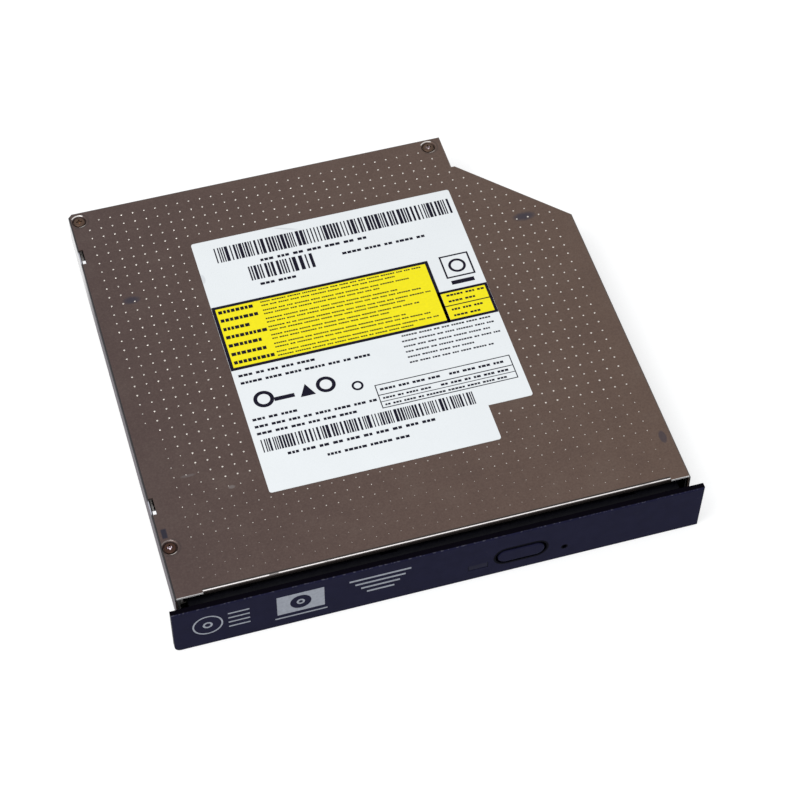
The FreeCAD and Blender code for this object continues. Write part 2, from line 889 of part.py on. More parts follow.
def channel(web_outer, web, flange_inner, low_z, high_z, flange, y0, y1):
    """A C section on the right side, open towards the middle of the drive."""
    section = box(flange_inner, web_outer, y0, y1, low_z, high_z)
    return section.cut(box(flange_inner, web_outer - web, y0, y1, low_z + flange, high_z - flange))


def on_left(shape):
    return shape.mirror(V(0, 0, 0), V(1, 0, 0))


def make_guide(rear_y):
    return channel(inner_half_x, guide_sheet, rail_flange_x, guide_low_z, guide_high_z, guide_sheet,
                   rail_front_y, rear_y)


def make_rail(rear_y):
    low_z = guide_low_z + guide_sheet + rail_gap
    high_z = guide_high_z - guide_sheet - rail_gap
    return channel(rail_web_x, rail_sheet, rail_flange_x, low_z, high_z, rail_sheet,
                   rail_front_y + rail_end_step, rear_y - rail_end_step)


def make_tongue(rear_y):
    low_z = guide_low_z + guide_sheet + rail_sheet + 2 * rail_gap
    high_z = guide_high_z - guide_sheet - rail_sheet - 2 * rail_gap
    return box(tray_half_width, tray_half_width + tongue_out, rail_front_y, rear_y, low_z, high_z)


def make_tray():
    plate = casing(tray_inset, tray_under_z, tray_top_z).common(
        box(-tray_half_width, tray_half_width, tray_front_y, tray_rear_y, tray_under_z, tray_top_z))
    plate = plate.cut(make_tray_hollows())
    tray = plate.fuse(box(-tray_half_width, tray_right_x, tray_front_y, wall_rear_y,
                          tray_skirt_z, tray_under_z))
    tray = tray.fuse(make_tray_ribs())
    tray = tray.fuse(on_left(make_tongue(left_rail_rear_y)))
    tray = tray.fuse(make_tongue(right_rail_rear_y))
    tray = tray.cut(disc(spindle_x, spindle_y, disc_recess_z, tray_top_z, disc_recess_r))
    tray = tray.cut(disc(spindle_x, spindle_y, small_recess_z, tray_top_z, small_recess_r))
    tray = tray.cut(Part.makeCone(disc_recess_r, disc_recess_r + recess_chamfer, recess_chamfer,
                                  V(spindle_x, spindle_y, tray_top_z - recess_chamfer)))
    notch_x = disc_recess_r * math.cos(math.radians(finger_notch_angle))
    notch_y = spindle_y - disc_recess_r * math.sin(math.radians(finger_notch_angle))
    tray = tray.cut(disc(notch_x, notch_y, disc_recess_z, tray_top_z, finger_notch_r))
    tray = tray.cut(at_spindle(prism(chassis_outline, tray_under_z, tray_top_z, traverse_clearance)))
    for u, v, _ in damper_places:
        post = disc(u, v, damper_high_z, tray_under_z, damper_groove_r)
        post = post.fuse(disc(u, v, damper_low_z, tray_under_z, damper_bore_r))
        tray = tray.fuse(at_spindle(post))
        tray = tray.cut(at_spindle(disc(u, v, damper_low_z, damper_high_z, damper_screw_r)))
    tray = tray.fuse(disc(pivot_x, pivot_y, lever_high_z + lever_lift, tray_under_z, pivot_shoulder_r))
    tray = tray.fuse(disc(pivot_x, pivot_y, lever_low_z - lever_lift, tray_under_z, pivot_r))
    return tray.cut(make_front_wall_holes()).removeSplitter()


def make_tray_hollows():
    """The hollow undersides of the two left corners, where the moulding is a thin shell."""
    left_x = -tray_half_width + moulding_wall
    high_z = tray_top_z - moulding_wall
    front_y = wall_rear_y + hook_pocket + moulding_wall
    keep = disc(spindle_x, spindle_y, 0, body_height, disc_recess_r + moulding_wall)
    corners = []
    for y0, y1 in ((front_y, spindle_y), (spindle_y, tray_rear_y - moulding_wall)):
        corner = box(left_x, spindle_x, y0, y1, tray_under_z, high_z).cut(keep)
        corners.append(max(corner.Solids, key=lambda piece: piece.Volume))
    return corners


def make_tray_ribs():
    """Ribs and posts under the tray's plate: for the front board, relay board and ejector."""
    ribs = [box(x, x + board_rib, wall_rear_y, front_board_y, front_board_low, tray_under_z)
            for x in (front_board_left, front_board_right - board_rib)]
    for x in (relay_left + relay_post_r, board_right - relay_post_r):
        for y in (relay_front + relay_post_r, relay_rear - relay_post_r):
            ribs.append(disc(x, y, relay_low_z + relay_sheet, tray_under_z, relay_post_r))
    block_low = ejector_z - ejector_head_r
    half = ejector_block_width / 2
    for y0 in (ejector_front_y - ejector_block, ejector_rear_y):
        block = box(ejector_x - half, ejector_x + half, y0, y0 + ejector_block, block_low,
                    tray_top_z - moulding_wall)
        ribs.append(block.cut(rod_y(ejector_x, y0, y0 + ejector_block, ejector_z, ejector_rod_r)))
    return ribs


def make_front_wall_holes():
    holes = [box(button_x - stem_half_width - stem_play, button_x + stem_half_width + stem_play,
                 tray_front_y, wall_rear_y,
                 button_z - stem_half_height - stem_play, button_z + stem_half_height + stem_play)]
    holes.append(box(window_left_x, window_right_x, tray_front_y, wall_rear_y, window_low_z, window_high_z))
    holes.append(rod_y(pin_hole_x, tray_front_y, wall_rear_y, pin_hole_z, pin_hole_r))
    low_z = hook_low_z - hook_gap
    for x in hook_xs:
        left_x = x - hook_width / 2 - hook_gap
        right_x = x + hook_width / 2 + hook_gap
        holes.append(box(left_x, right_x, tray_front_y, wall_rear_y, low_z, hook_high_z + hook_gap))
        holes.append(box(left_x, right_x, wall_rear_y, wall_rear_y + hook_pocket, low_z, tray_top_z))
    return holes


def make_front_bezel():
    bezel = make_bezel_plate().fuse(make_bezel_rim())
    barb_y = wall_rear_y + hook_gap
    hook_end = wall_rear_y + hook_reach
    for x in hook_xs:
        left_x = x - hook_width / 2
        bezel = bezel.fuse(box(left_x, left_x + hook_width, plate_rear_y, hook_end, hook_low_z, hook_high_z))
        bezel = bezel.fuse(box(left_x, left_x + hook_width, barb_y, hook_end,
                               hook_high_z, hook_high_z + hook_barb))
    bezel = bezel.cut(pill_y(slot_left_x, slot_right_x, slot_low_z, slot_high_z, bezel_front_y, plate_rear_y))
    bezel = bezel.cut(box(window_left_x - window_gap, window_right_x + window_gap, bezel_front_y, tray_front_y,
                          window_low_z - window_gap, window_high_z + window_gap))
    bezel = bezel.cut(rod_y(pin_hole_x, bezel_front_y, tray_front_y, pin_hole_z, pin_hole_r))
    return bezel.removeSplitter()


def make_bezel_plate():
    corners = [V(bezel_left_x, plate_rear_y, bezel_low_z), V(bezel_right_low_x, plate_rear_y, bezel_low_z),
               V(bezel_right_top_x, plate_rear_y, bezel_top_z), V(bezel_left_x, plate_rear_y, bezel_top_z)]
    plate = Part.Face(Part.makePolygon(corners + corners[:1])).extrude(V(0, -bezel_plate, 0))
    low_left = edges_along(plate, V(0, 1, 0), lambda edge: edge.BoundBox.XMax < 0 and edge.BoundBox.ZMax < 0)
    plate = plate.makeFillet(bezel_low_round, low_left)
    front_edges = [edge for edge in plate.Edges if edge.BoundBox.YMax < bezel_front_y + 1e-3]
    return plate.makeFillet(bezel_round, front_edges)


def make_bezel_rim():
    """The walls and ribs behind the bezel's plate, up against the front wall of the tray."""
    wall = bezel_rim_wall
    half = bezel_rim_half
    low_z = tray_under_z + wall
    high_z = tray_top_z - wall
    rim = box(-half, half, plate_rear_y, tray_front_y, tray_under_z, tray_top_z)
    rim = rim.cut(box(-half + wall, half - wall, plate_rear_y, tray_front_y, low_z, high_z))
    for i in range(bezel_ribs):
        x = -half + (i + 1) * 2 * half / (bezel_ribs + 1)
        rim = rim.fuse(box(x - bezel_rib / 2, x + bezel_rib / 2, plate_rear_y, tray_front_y, low_z, high_z))
    low_rim = box(-tray_half_width, tray_right_x, plate_rear_y, tray_front_y, tray_skirt_z, low_z)
    low_rim = low_rim.cut(box(-tray_half_width + wall, tray_right_x - wall, plate_rear_y, tray_front_y,
                              tray_skirt_z + wall, tray_under_z))
    flange_top = slot_high_z + button_flange_over + rim_cut_gap
    return rim.fuse(low_rim).cut(box(window_left_x - rim_cut_side, pin_hole_x + rim_cut_right, plate_rear_y,
                                     tray_front_y, bezel_low_z, flange_top))


def make_eject_button():
    face_y = bezel_front_y - button_proud
    flange_y = plate_rear_y + button_flange_gap
    cap = pill_y(slot_left_x + button_gap, slot_right_x - button_gap, slot_low_z + button_gap,
                 slot_high_z - button_gap, face_y, flange_y + button_flange)
    front_edges = [edge for edge in cap.Edges if edge.BoundBox.YMax < face_y + 1e-3]
    cap = cap.makeFillet(button_round, front_edges)
    over = button_flange_over
    flange = pill_y(slot_left_x - over, slot_right_x + over, slot_low_z - over, slot_high_z + over,
                    flange_y, flange_y + button_flange)
    stem = box(button_x - stem_half_width, button_x + stem_half_width, flange_y, stem_end_y,
               button_z - stem_half_height, button_z + stem_half_height)
    return cap.fuse([flange, stem]).removeSplitter()


def make_indicator_window():
    return box(window_left_x, window_right_x, bezel_front_y + window_sunk, wall_rear_y + window_past_wall,
               window_low_z, window_high_z)


def make_front_board():
    return box(front_board_left, front_board_right, front_board_y, front_board_y + front_board_sheet,
               front_board_low, front_board_high)


def make_eject_switch():
    body_y = front_board_y - switch_body
    body = box(button_x - switch_width / 2, button_x + switch_width / 2, body_y, front_board_y,
               button_z - switch_height / 2, button_z + switch_height / 2)
    return body.fuse(rod_y(button_x, body_y - switch_knob, front_board_y, button_z, switch_height / 4))


def make_indicator_lamp():
    x = (window_left_x + window_right_x) / 2
    return box(x - lamp_half_width, x + lamp_half_width, wall_rear_y + window_past_wall + lamp_gap,
               front_board_y, front_board_low, window_high_z)


def make_chassis():
    chassis = prism(chassis_outline, chassis_low_z, chassis_high_z)
    chassis = chassis.cut(prism(chassis_outline, chassis_low_z, chassis_high_z, -chassis_wall))
    floor = prism(chassis_outline, chassis_low_z, chassis_low_z + chassis_floor)
    rear_floor = box(chassis_rear_u, 0, chassis_left_v, chassis_right_v, chassis_low_z, chassis_high_z)
    rear_floor = rear_floor.fuse(disc(0, 0, chassis_low_z, chassis_high_z, motor_base_r))
    chassis = chassis.fuse(floor.common(rear_floor))
    inner_v = chassis_right_v - chassis_wall
    for v0, v1 in ((post_v, inner_v), (chassis_left_v + chassis_wall, -post_v)):
        chassis = chassis.fuse(box(shaft_inner_u, shaft_inner_u + post_length, v0, v1,
                                   chassis_low_z, chassis_high_z))
    chassis = chassis.fuse(box(screw_post_u, screw_post_u + screw_post_length, screw_v - screw_post_half,
                               inner_v, chassis_low_z, chassis_high_z))
    for v in (-guide_shaft_v, guide_shaft_v):
        chassis = chassis.cut(rod_x(shaft_inner_u, chassis_end_u - chassis_wall + shaft_seat, v, shaft_z,
                                    guide_shaft_r))
    chassis = chassis.cut(rod_x(shaft_inner_u, screw_post_u + screw_post_length, screw_v, shaft_z,
                                screw_r + screw_play))
    chassis = chassis.cut(box(chassis_rear_u, chassis_rear_u + chassis_wall, flex_left_v - flex_gap,
                              flex_right_v + flex_gap, relay_low_z + relay_sheet - flex_gap, chassis_high_z))
    inner = prism(chassis_outline, 0, body_height, -chassis_wall / 2)
    for u, v, angle in damper_places:
        chassis = chassis.cut(disc(u, v, 0, body_height, damper_r + damper_gap))
        chassis = chassis.fuse(make_damper_ear(u, v, angle).cut(inner))
        chassis = chassis.cut(disc(u, v, 0, body_height, damper_groove_r))
    return chassis.removeSplitter()


def make_damper_ear(u, v, angle):
    """A round ear of the chassis that sits in a damper's groove, with an arm back to the wall."""
    z0 = damper_ear_z
    z1 = damper_ear_z + damper_ear
    ear = disc(0, 0, z0, z1, damper_ear_r).fuse(box(0, damper_arm, -damper_arm_half, damper_arm_half, z0, z1))
    ear.rotate(V(0, 0, 0), V(0, 0, 1), angle)
    ear.translate(V(u, v, 0))
    return ear


def make_traverse_cover():
    plate = prism(chassis_outline, chassis_high_z, chassis_high_z + traverse_cover_sheet, -traverse_cover_inset)
    plate = plate.cut(disc(0, 0, 0, body_height, turntable_r + turntable_hole_gap))
    return plate.cut(box(0, chassis_end_u - lens_slot_gap, -lens_slot_half, lens_slot_half, 0, body_height))


def make_dampers():
    dampers = []
    high = damper_ear_z + damper_ear
    profile = [(damper_bore_r, damper_low_z), (damper_r, damper_low_z), (damper_r, damper_ear_z),
               (damper_groove_r, damper_ear_z), (damper_groove_r, high), (damper_r, high),
               (damper_r, damper_high_z), (damper_bore_r, damper_high_z)]
    for u, v, _ in damper_places:
        damper = turned(profile)
        damper.translate(V(u, v, 0))
        dampers.append(damper)
    return Part.makeCompound(dampers)


def make_damper_screws():
    screws = []
    for u, v, _ in damper_places:
        head = disc(u, v, damper_low_z - damper_head_h, damper_low_z, damper_head_r)
        screws.append(head.fuse(disc(u, v, damper_low_z, damper_high_z, damper_screw_r)))
    return Part.makeCompound(screws)


def make_motor_base():
    low_z = motor_base_top - motor_base_sheet
    plate = disc(0, 0, low_z, motor_base_top, motor_base_r)
    tail = box(chassis_rear_u + chassis_wall, 0, -motor_tail_half, motor_tail_half, low_z, motor_base_top)
    return plate.fuse(tail).removeSplitter()


def make_spindle_flex():
    """A flat flexible circuit from the motor base, over the chassis wall, to the relay board."""
    low = motor_base_top
    high = relay_low_z + relay_sheet
    rise = flex_sheet
    path = [(-flex_inner_u, low), (-flex_foot_u, low), (-flex_top_u, high), (-flex_reach, high),
            (-flex_reach, high + rise), (-flex_top_u + rise, high + rise), (-flex_foot_u + rise, low + rise),
            (-flex_inner_u, low + rise)]
    corners = [V(u, flex_left_v, z) for u, z in path]
    return Part.Face(Part.makePolygon(corners + corners[:1])).extrude(V(0, flex_right_v - flex_left_v, 0))


def make_spindle_bearing():
    return ring(shaft_r + shaft_play, bearing_r, motor_base_top, motor_base_top + bearing_height)


def make_stator():
    stator = ring(bearing_r, stator_hub_r, stator_low_z, stator_high_z)
    middle_z = (stator_low_z + stator_high_z) / 2
    low = middle_z - stator_plate / 2
    high = middle_z + stator_plate / 2
    for i in range(coil_count):
        arm = box(stator_hub_r - stator_overlap, stator_r, -stator_arm_half, stator_arm_half, low, high)
        arm = arm.fuse(box(stator_r - stator_shoe, stator_r, -stator_shoe_half, stator_shoe_half, low, high))
        arm = arm.fuse(box(stator_hub_r + coil_inner_gap, stator_r - coil_outer_gap, -coil_half, coil_half,
                           stator_low_z, stator_high_z))
        arm.rotate(V(0, 0, 0), V(0, 0, 1), 360.0 * i / coil_count)
        stator = stator.fuse(arm)
    return stator


def make_rotor():
    inner = rotor_r - rotor_sheet
    shaft_end_z = motor_base_top + shaft_end_gap
    profile = [(0, shaft_end_z), (shaft_r, shaft_end_z), (shaft_r, rotor_high_z - rotor_sheet),
               (inner, rotor_high_z - rotor_sheet), (inner, rotor_low_z), (rotor_r, rotor_low_z),
               (rotor_r, rotor_high_z), (shaft_r, rotor_high_z), (shaft_r, turntable_high_z),
               (0, turntable_high_z)]
    return turned(profile)


def make_rotor_magnet():
    outer = rotor_r - rotor_sheet
    low_z = rotor_low_z + magnet_lift
    return ring(outer - magnet_thick, outer, low_z, low_z + magnet_height)


def make_turntable():
    profile = [(shaft_r, rotor_high_z), (turntable_neck_r, rotor_high_z), (turntable_neck_r, turntable_low_z),
               (turntable_r, turntable_low_z), (turntable_r, turntable_high_z), (boss_r, turntable_high_z),
               (boss_r, boss_high_z - boss_chamfer), (boss_r - boss_chamfer, boss_high_z), (0, boss_high_z),
               (0, turntable_high_z), (shaft_r, turntable_high_z)]
    turntable = turned(profile)
    for i in range(claw_count):
        slot = box(claw_inner_r - claw_travel - claw_end_gap, turntable_r, -claw_width / 2 - claw_gap,
                   claw_width / 2 + claw_gap, claw_low_z - claw_gap, claw_high_z + claw_gap)
        slot.rotate(V(0, 0, 0), V(0, 0, 1), 360.0 * i / claw_count)
        turntable = turntable.cut(slot)
    return turntable


def make_turntable_pad():
    return ring(pad_inner_r, pad_outer_r, turntable_high_z, disc_plane_z)


def make_claw(i):
    half = claw_width / 2
    nose = boss_r + claw_proud
    middle_z = (claw_low_z + claw_high_z) / 2
    corners = [V(claw_inner_r, -half, claw_low_z), V(boss_r, -half, claw_low_z), V(nose, -half, middle_z),
               V(boss_r - claw_proud, -half, claw_high_z), V(claw_inner_r, -half, claw_high_z)]
    claw = Part.Face(Part.makePolygon(corners + corners[:1])).extrude(V(0, claw_width, 0))
    claw.rotate(V(0, 0, 0), V(0, 0, 1), 360.0 * i / claw_count)
    return claw


def make_guide_shafts():
    end_u = chassis_end_u - chassis_wall + shaft_seat
    return Part.makeCompound([rod_x(shaft_inner_u, end_u, v, shaft_z, guide_shaft_r)
                              for v in (-guide_shaft_v, guide_shaft_v)])


def make_pickup_sled():
    outer_u = lens_rest_u + sled_ahead
    cut = sled_corner
    points = [(sled_inner_u, sled_left_v), (outer_u - cut, sled_left_v), (outer_u, sled_left_v + cut),
              (outer_u, sled_right_v - cut), (outer_u - cut, sled_right_v), (sled_inner_u, sled_right_v)]
    sled = prism(points, sled_low_z, sled_high_z)
    sled = sled.cut(disc(0, 0, sled_low_z, sled_high_z, sled_arc_r))
    bore = guide_shaft_r + guide_play
    sled = sled.cut(rod_x(sled_inner_u, outer_u, guide_shaft_v, shaft_z, bore))
    sled = sled.cut(rod_x(sled_inner_u, outer_u, -guide_shaft_v, shaft_z, bore))
    sled = sled.cut(box(sled_inner_u, outer_u, sled_left_v, -guide_shaft_v, shaft_z - bore, shaft_z + bore))
    return sled.cut(box(lens_rest_u - lens_pocket_u, lens_rest_u + lens_pocket_u - lens_pocket_wall,
                        -lens_pocket_v, lens_pocket_v, sled_high_z - lens_pocket_drop, sled_high_z))


def make_drive_nut():
    middle_u = lens_rest_u - nut_behind
    return box(middle_u - nut_length / 2, middle_u + nut_length / 2, sled_right_v, screw_v - screw_r - nut_gap,
               shaft_z - nut_height / 2, shaft_z + nut_height / 2)


def make_actuator_yoke():
    low_z = sled_high_z - lens_pocket_drop
    high_z = holder_high_z - yoke_gap
    outer = lens_pocket_u - lens_pocket_wall
    inner = lens_rest_u - holder_half_u - yoke_gap
    side_v = holder_half_v + yoke_gap
    blocks = [box(inner - yoke_thick, inner, -yoke_half_v, yoke_half_v, low_z, high_z)]
    for v0, v1 in ((-lens_pocket_v, -side_v), (side_v, lens_pocket_v)):
        blocks.append(box(lens_rest_u - outer, lens_rest_u + outer, v0, v1, low_z, high_z))
    return Part.makeCompound(blocks)


def make_lens_holder():
    holder = box(lens_rest_u - holder_half_u, lens_rest_u + holder_half_u - holder_front_cut,
                 -holder_half_v, holder_half_v, holder_low_z, holder_high_z)
    return holder.cut(disc(lens_rest_u, 0, holder_low_z, holder_high_z, lens_r))


def make_objective_lens():
    crown_radius = (lens_r ** 2 + lens_crown ** 2) / (2 * lens_crown)
    lens = disc(lens_rest_u, 0, holder_high_z - lens_seat, lens_high_z, lens_r)
    return lens.common(Part.makeSphere(crown_radius, V(lens_rest_u, 0, lens_high_z - crown_radius)))


def make_lead_screw():
    start_u = shaft_inner_u - feed_motor_bore_depth
    return rod_x(start_u, screw_post_u + screw_post_length + screw_past_post, screw_v, shaft_z, screw_r)


def make_feed_motor():
    end_u = shaft_inner_u - feed_motor_gap
    motor = box(end_u - feed_motor_length, end_u, screw_v - feed_motor_half_v, screw_v + feed_motor_half_v,
                shaft_z - feed_motor_below, shaft_z + feed_motor_above)
    motor = motor.makeFillet(feed_motor_round, edges_along(motor, V(1, 0, 0)))
    return motor.cut(rod_x(end_u - feed_motor_bore_depth, end_u, screw_v, shaft_z, screw_r + screw_play))


def make_lock_lever():
    """Drawn locked, with its finger behind the stud, then swung back to its released place."""
    finger_front = stud_y + stud_r + lever_hook_gap
    finger_rear = finger_front + lever_finger
    tip_x = stud_x + lever_hook_past
    half = lever_arm_width / 2
    arm_x = pivot_x + lever_arm_out
    lever = box(arm_x - half, arm_x + half, pivot_y, finger_rear, lever_low_z, lever_high_z)
    lever = lever.fuse(box(arm_x - half, tip_x, finger_front, finger_rear, lever_low_z, lever_high_z))
    lever = lever.fuse(disc(pivot_x, pivot_y, lever_low_z, lever_high_z, pivot_shoulder_r))
    lever = lever.fuse(box(pivot_x - half, pivot_x + half, pivot_y - lever_tail, pivot_y,
                           lever_low_z, lever_high_z))
    lever = lever.cut(disc(pivot_x, pivot_y, lever_low_z, lever_high_z, pivot_r + pivot_play)).removeSplitter()
    lever.rotate(V(pivot_x, pivot_y, 0), V(0, 0, 1), lever_released)
    return lever


def make_lock_stud():
    flange = disc(stud_x, stud_y, base_sheet, base_sheet + stud_flange, stud_flange_r)
    return flange.fuse(disc(stud_x, stud_y, 0, stud_high_z, stud_r))


def make_solenoid():
    rear_y = pivot_y - solenoid_gap
    return box(pivot_x - solenoid_width / 2, pivot_x + solenoid_width / 2, rear_y - solenoid_length, rear_y,
               base_sheet + solenoid_over_base, tray_under_z)


def make_eject_plunger():
    tip_y = inner_rear_y - ejector_wall_gap
    rod = rod_y(ejector_x, ejector_front_y - ejector_block, tip_y, ejector_z, ejector_rod_r)
    head = rod_y(ejector_x, tip_y - ejector_head, tip_y, ejector_z, ejector_head_r)
    return rod.fuse(head)


def make_eject_spring():
    """A coil of wire, drawn with straight steps and a square section to keep its facets few."""
    length = ejector_rear_y - ejector_front_y - 2 * ejector_wire_r
    steps = ejector_turns * ejector_turn_steps
    r = ejector_spring_r
    w = ejector_wire_r
    path = []
    for i in range(steps + 1):
        angle = 2 * math.pi * i / ejector_turn_steps
        path.append(V(r * math.cos(angle), r * math.sin(angle), length * i / steps))
    corners = [V(r - w, 0, 0), V(r, 0, -w), V(r + w, 0, 0), V(r, 0, w)]
    section = Part.makePolygon(corners + corners[:1])
    spring = Part.Wire(Part.makePolygon(path)).makePipeShell([section], True, True, 1)
    spring.rotate(V(0, 0, 0), V(1, 0, 0), -90)
    spring.translate(V(ejector_x, ejector_front_y + ejector_wire_r, ejector_z))
    return spring


def make_relay_board():
    return box(relay_left, board_right, relay_front, relay_rear, relay_low_z, relay_low_z + relay_sheet)


def make_tray_ribbon():
    """Flat cable in a long fold: down to the floor, forward, round, and back to the tray."""
    high_z = relay_low_z
    low_z = base_sheet + ribbon_floor_gap
    socket_z = board_high_z + ribbon_sheet
    radius = (high_z - low_z) / 2
    middle = (high_z + low_z) / 2
    socket_y = board_front + socket_margin
    width = V(ribbon_width, 0, 0)
    foot_y = socket_y - ribbon_ramp
    path = [(ribbon_fold_y, low_z), (foot_y, low_z), (socket_y, socket_z), (socket_y, socket_z + ribbon_sheet),
            (foot_y, low_z + ribbon_sheet), (ribbon_fold_y, low_z + ribbon_sheet)]
    corners = [V(ribbon_left, y, z) for y, z in path]
    lower = Part.Face(Part.makePolygon(corners + corners[:1])).extrude(width)
    upper = box(ribbon_left, ribbon_right, ribbon_fold_y, relay_rear, high_z - ribbon_sheet, high_z)
    bend = rod_x(ribbon_left, ribbon_right, ribbon_fold_y, middle, radius)
    bend = bend.cut(rod_x(ribbon_left, ribbon_right, ribbon_fold_y, middle, radius - ribbon_sheet))
    bend = bend.cut(box(ribbon_left, ribbon_right, ribbon_fold_y, board_front, 0, body_height))
    return lower.fuse([upper, bend]).removeSplitter()


def make_ribbon_socket():
    y0 = board_front + socket_margin
    return box(ribbon_left - socket_margin, board_right, y0, y0 + socket_depth,
               board_high_z, board_high_z + socket_height)


def make_main_board():
    board = box(board_left, board_right, board_front, board_rear, board_low_z, board_high_z)
    for x, y in standoff_places:
        board = board.cut(disc(x, y, board_low_z, board_high_z, screw_shank_r))
    return board


def make_board_screws():
    screws = []
    for x, y in standoff_places:
        head = disc(x, y, board_high_z, board_high_z + board_screw_head_h, board_screw_head_r)
        screws.append(head.fuse(disc(x, y, base_sheet / 2, board_high_z, screw_shank_r)))
    return Part.makeCompound(screws)


def make_insulator():
    sheet = box(board_left, board_right, board_front, board_rear, base_sheet, base_sheet + insulator_sheet)
    for x, y in standoff_places:
        sheet = sheet.cut(disc(x, y, base_sheet, base_sheet + insulator_sheet, standoff_r))
    return sheet


def make_controller_chip():
    return on_board(controller_share, controller_width_share * board_width, controller_front, controller_depth,
                    controller_height)


def on_board(share, width, front, depth, height):
    """A block on the main board, placed by a share of the board's width and a distance from its front."""
    x = board_left + share * board_width
    y = board_front + front
    return box(x, x + width, y, y + depth, board_high_z, board_high_z + height)


def make_board_chips():
    """Chips, small parts and round capacitors."""
    pieces = [on_board(share, width_share * board_width, front, depth, chip_height)
              for share, width_share, front, depth in chip_plans]
    pieces += [on_board(share, small_part_length, front, small_part_width, small_part_height)
               for share, front in across_part_places]
    pieces += [on_board(share, small_part_width, front, small_part_length, small_part_height)
               for share, front in along_part_places]
    for share, front in can_places:
        x = board_left + share * board_width
        pieces.append(disc(x, board_front + front, board_high_z, board_high_z + can_height, can_r))
    return Part.makeCompound(pieces)


def make_rear_connector():
    half = connector_width / 2
    front_y = connector_rear_y - connector_depth
    shell = box(connector_x - half, connector_x + half, front_y, connector_rear_y,
                board_high_z, board_high_z + connector_height)
    mouth_half = connector_mouth_width / 2
    mouth_y = connector_rear_y - connector_mouth_depth
    mouth_low = connector_middle_z - connector_mouth_height / 2
    mouth = box(connector_x - mouth_half, connector_x + mouth_half, mouth_y, connector_rear_y,
                mouth_low, mouth_low + connector_mouth_height)
    tongue_half = mouth_half - connector_tongue_side
    tongue = box(connector_x - tongue_half, connector_x + tongue_half, mouth_y,
                 connector_rear_y - connector_tongue_back,
                 connector_middle_z - connector_tongue / 2, connector_middle_z + connector_tongue / 2)
    return shell.cut(mouth).fuse(tongue)


def make_connector_contacts():
    low_z = connector_middle_z - connector_tongue / 2 - contact_sheet
    high_z = connector_middle_z + connector_tongue / 2
    contacts = []
    for i in range(contact_rows):
        x = connector_x + (i - (contact_rows - 1) / 2) * contact_pitch
        for z0 in (low_z, high_z):
            contacts.append(box(x - contact_width / 2, x + contact_width / 2,
                                connector_rear_y - connector_mouth_depth, connector_rear_y - contact_back,
                                z0, z0 + contact_sheet))
    return Part.makeCompound(contacts)


def make_rating_label():
    points = [(label_left, label_front), (label_notch_x, label_front), (label_notch_x, label_notch_y),
              (label_right, label_notch_y), (label_right, label_rear), (label_left, label_rear)]
    label = prism(points, body_height, body_height + label_sheet)
    inner = (label_notch_x, label_notch_y)
    corners = edges_along(label, V(0, 0, 1), lambda edge: math.dist(
        (edge.BoundBox.XMin, edge.BoundBox.YMin), inner) > 0.1)
    return label.makeFillet(label_round, corners)


def make_label_fields():
    z = label_top_z
    border = panel_border
    panel = box(label_left + border, panel_right, panel_front + border, panel_rear - border, z, z + ink_sheet)
    cell = box(panel_right + border, label_right - border, panel_front + border, cell_rear - border,
               z, z + ink_sheet)
    return Part.makeCompound([panel, cell])


def bars(left_share, length_share, front_share, count, seed):
    """A row of upright bars of uneven width and spacing, in a plain arithmetic pattern."""
    x0 = label_left + left_share * label_width
    y0 = label_front + front_share * label_length
    y1 = y0 + bar_height_share * label_length
    pitch = length_share * label_width / count
    row = []
    for i in range(count):
        share = 0.3 + 0.12 * ((i * i * seed + 3 * i) % 4)
        row.append(box(x0 + i * pitch, x0 + (i + share) * pitch, y0, y1,
                       label_top_z, label_top_z + ink_sheet))
    return row


def make_label_print():
    z = label_top_z
    ink = z + ink_sheet
    border = panel_border
    frame = box(label_left, panel_right + border, panel_front, panel_rear, z, ink)
    frame = frame.fuse(box(panel_right, label_right, panel_front, cell_rear, z, ink))
    for field in make_label_fields().Solids:
        frame = frame.cut(field)
    shapes = [frame.removeSplitter()]
    for row in bar_rows:
        shapes += bars(*row)
    pitch = (panel_rear - panel_front) / panel_rows
    half = panel_word_height / 2
    left_x = label_left + panel_word_inset
    for i in range(panel_rows):
        y = panel_front + (i + 0.5) * pitch
        shapes.append(box(left_x, left_x + panel_word_share * label_width, y - half, y + half,
                          ink, ink + ink_sheet))
    rule_y = (panel_front + cell_rear) / 2
    shapes.append(box(panel_right + border, label_right - border, rule_y - cell_rule / 2,
                      rule_y + cell_rule / 2, ink, ink + ink_sheet))
    return Part.makeCompound(shapes)


def make_bezel_print():
    """Plain marks where the real drive has its printed signs: a ring with bars, a plate and a fan."""
    x = bezel_left_x + mark_from_left
    marks = [front_ring(x, mark_z, mark_ring_r, mark_ring_width)]
    marks.append(front_ring(x, mark_z, mark_hub_r, mark_hub_width))
    bar_x = x + mark_ring_r + mark_bar_from_ring
    for i in range(mark_bars):
        middle_z = mark_z + (i - (mark_bars - 1) / 2) * mark_bar_pitch
        marks.append(front_field(bar_x, mark_bar_length, middle_z - mark_bar_height / 2, mark_bar_height))
    x = bezel_left_x + plate_mark_from_left
    plate = front_field(x - plate_mark_width / 2, plate_mark_width, plate_mark_z - plate_mark_height / 2,
                        plate_mark_height)
    plate = plate.cut(front_ring(x, plate_mark_z, plate_mark_r, plate_mark_r))
    marks += [plate, front_ring(x, plate_mark_z, plate_mark_hub_r, mark_hub_width)]
    marks.append(front_field(x - plate_line_width / 2, plate_line_width, plate_line_z, mark_bar_height))
    x = bezel_left_x + fan_mark_from_left
    for i in range(fan_mark_bars):
        length = fan_mark_width - 2 * i * fan_mark_step
        top_z = fan_mark_top_z - i * mark_bar_pitch
        marks.append(front_field(x - length / 2, length, top_z - fan_bar_height, fan_bar_height))
    return Part.makeCompound(marks)


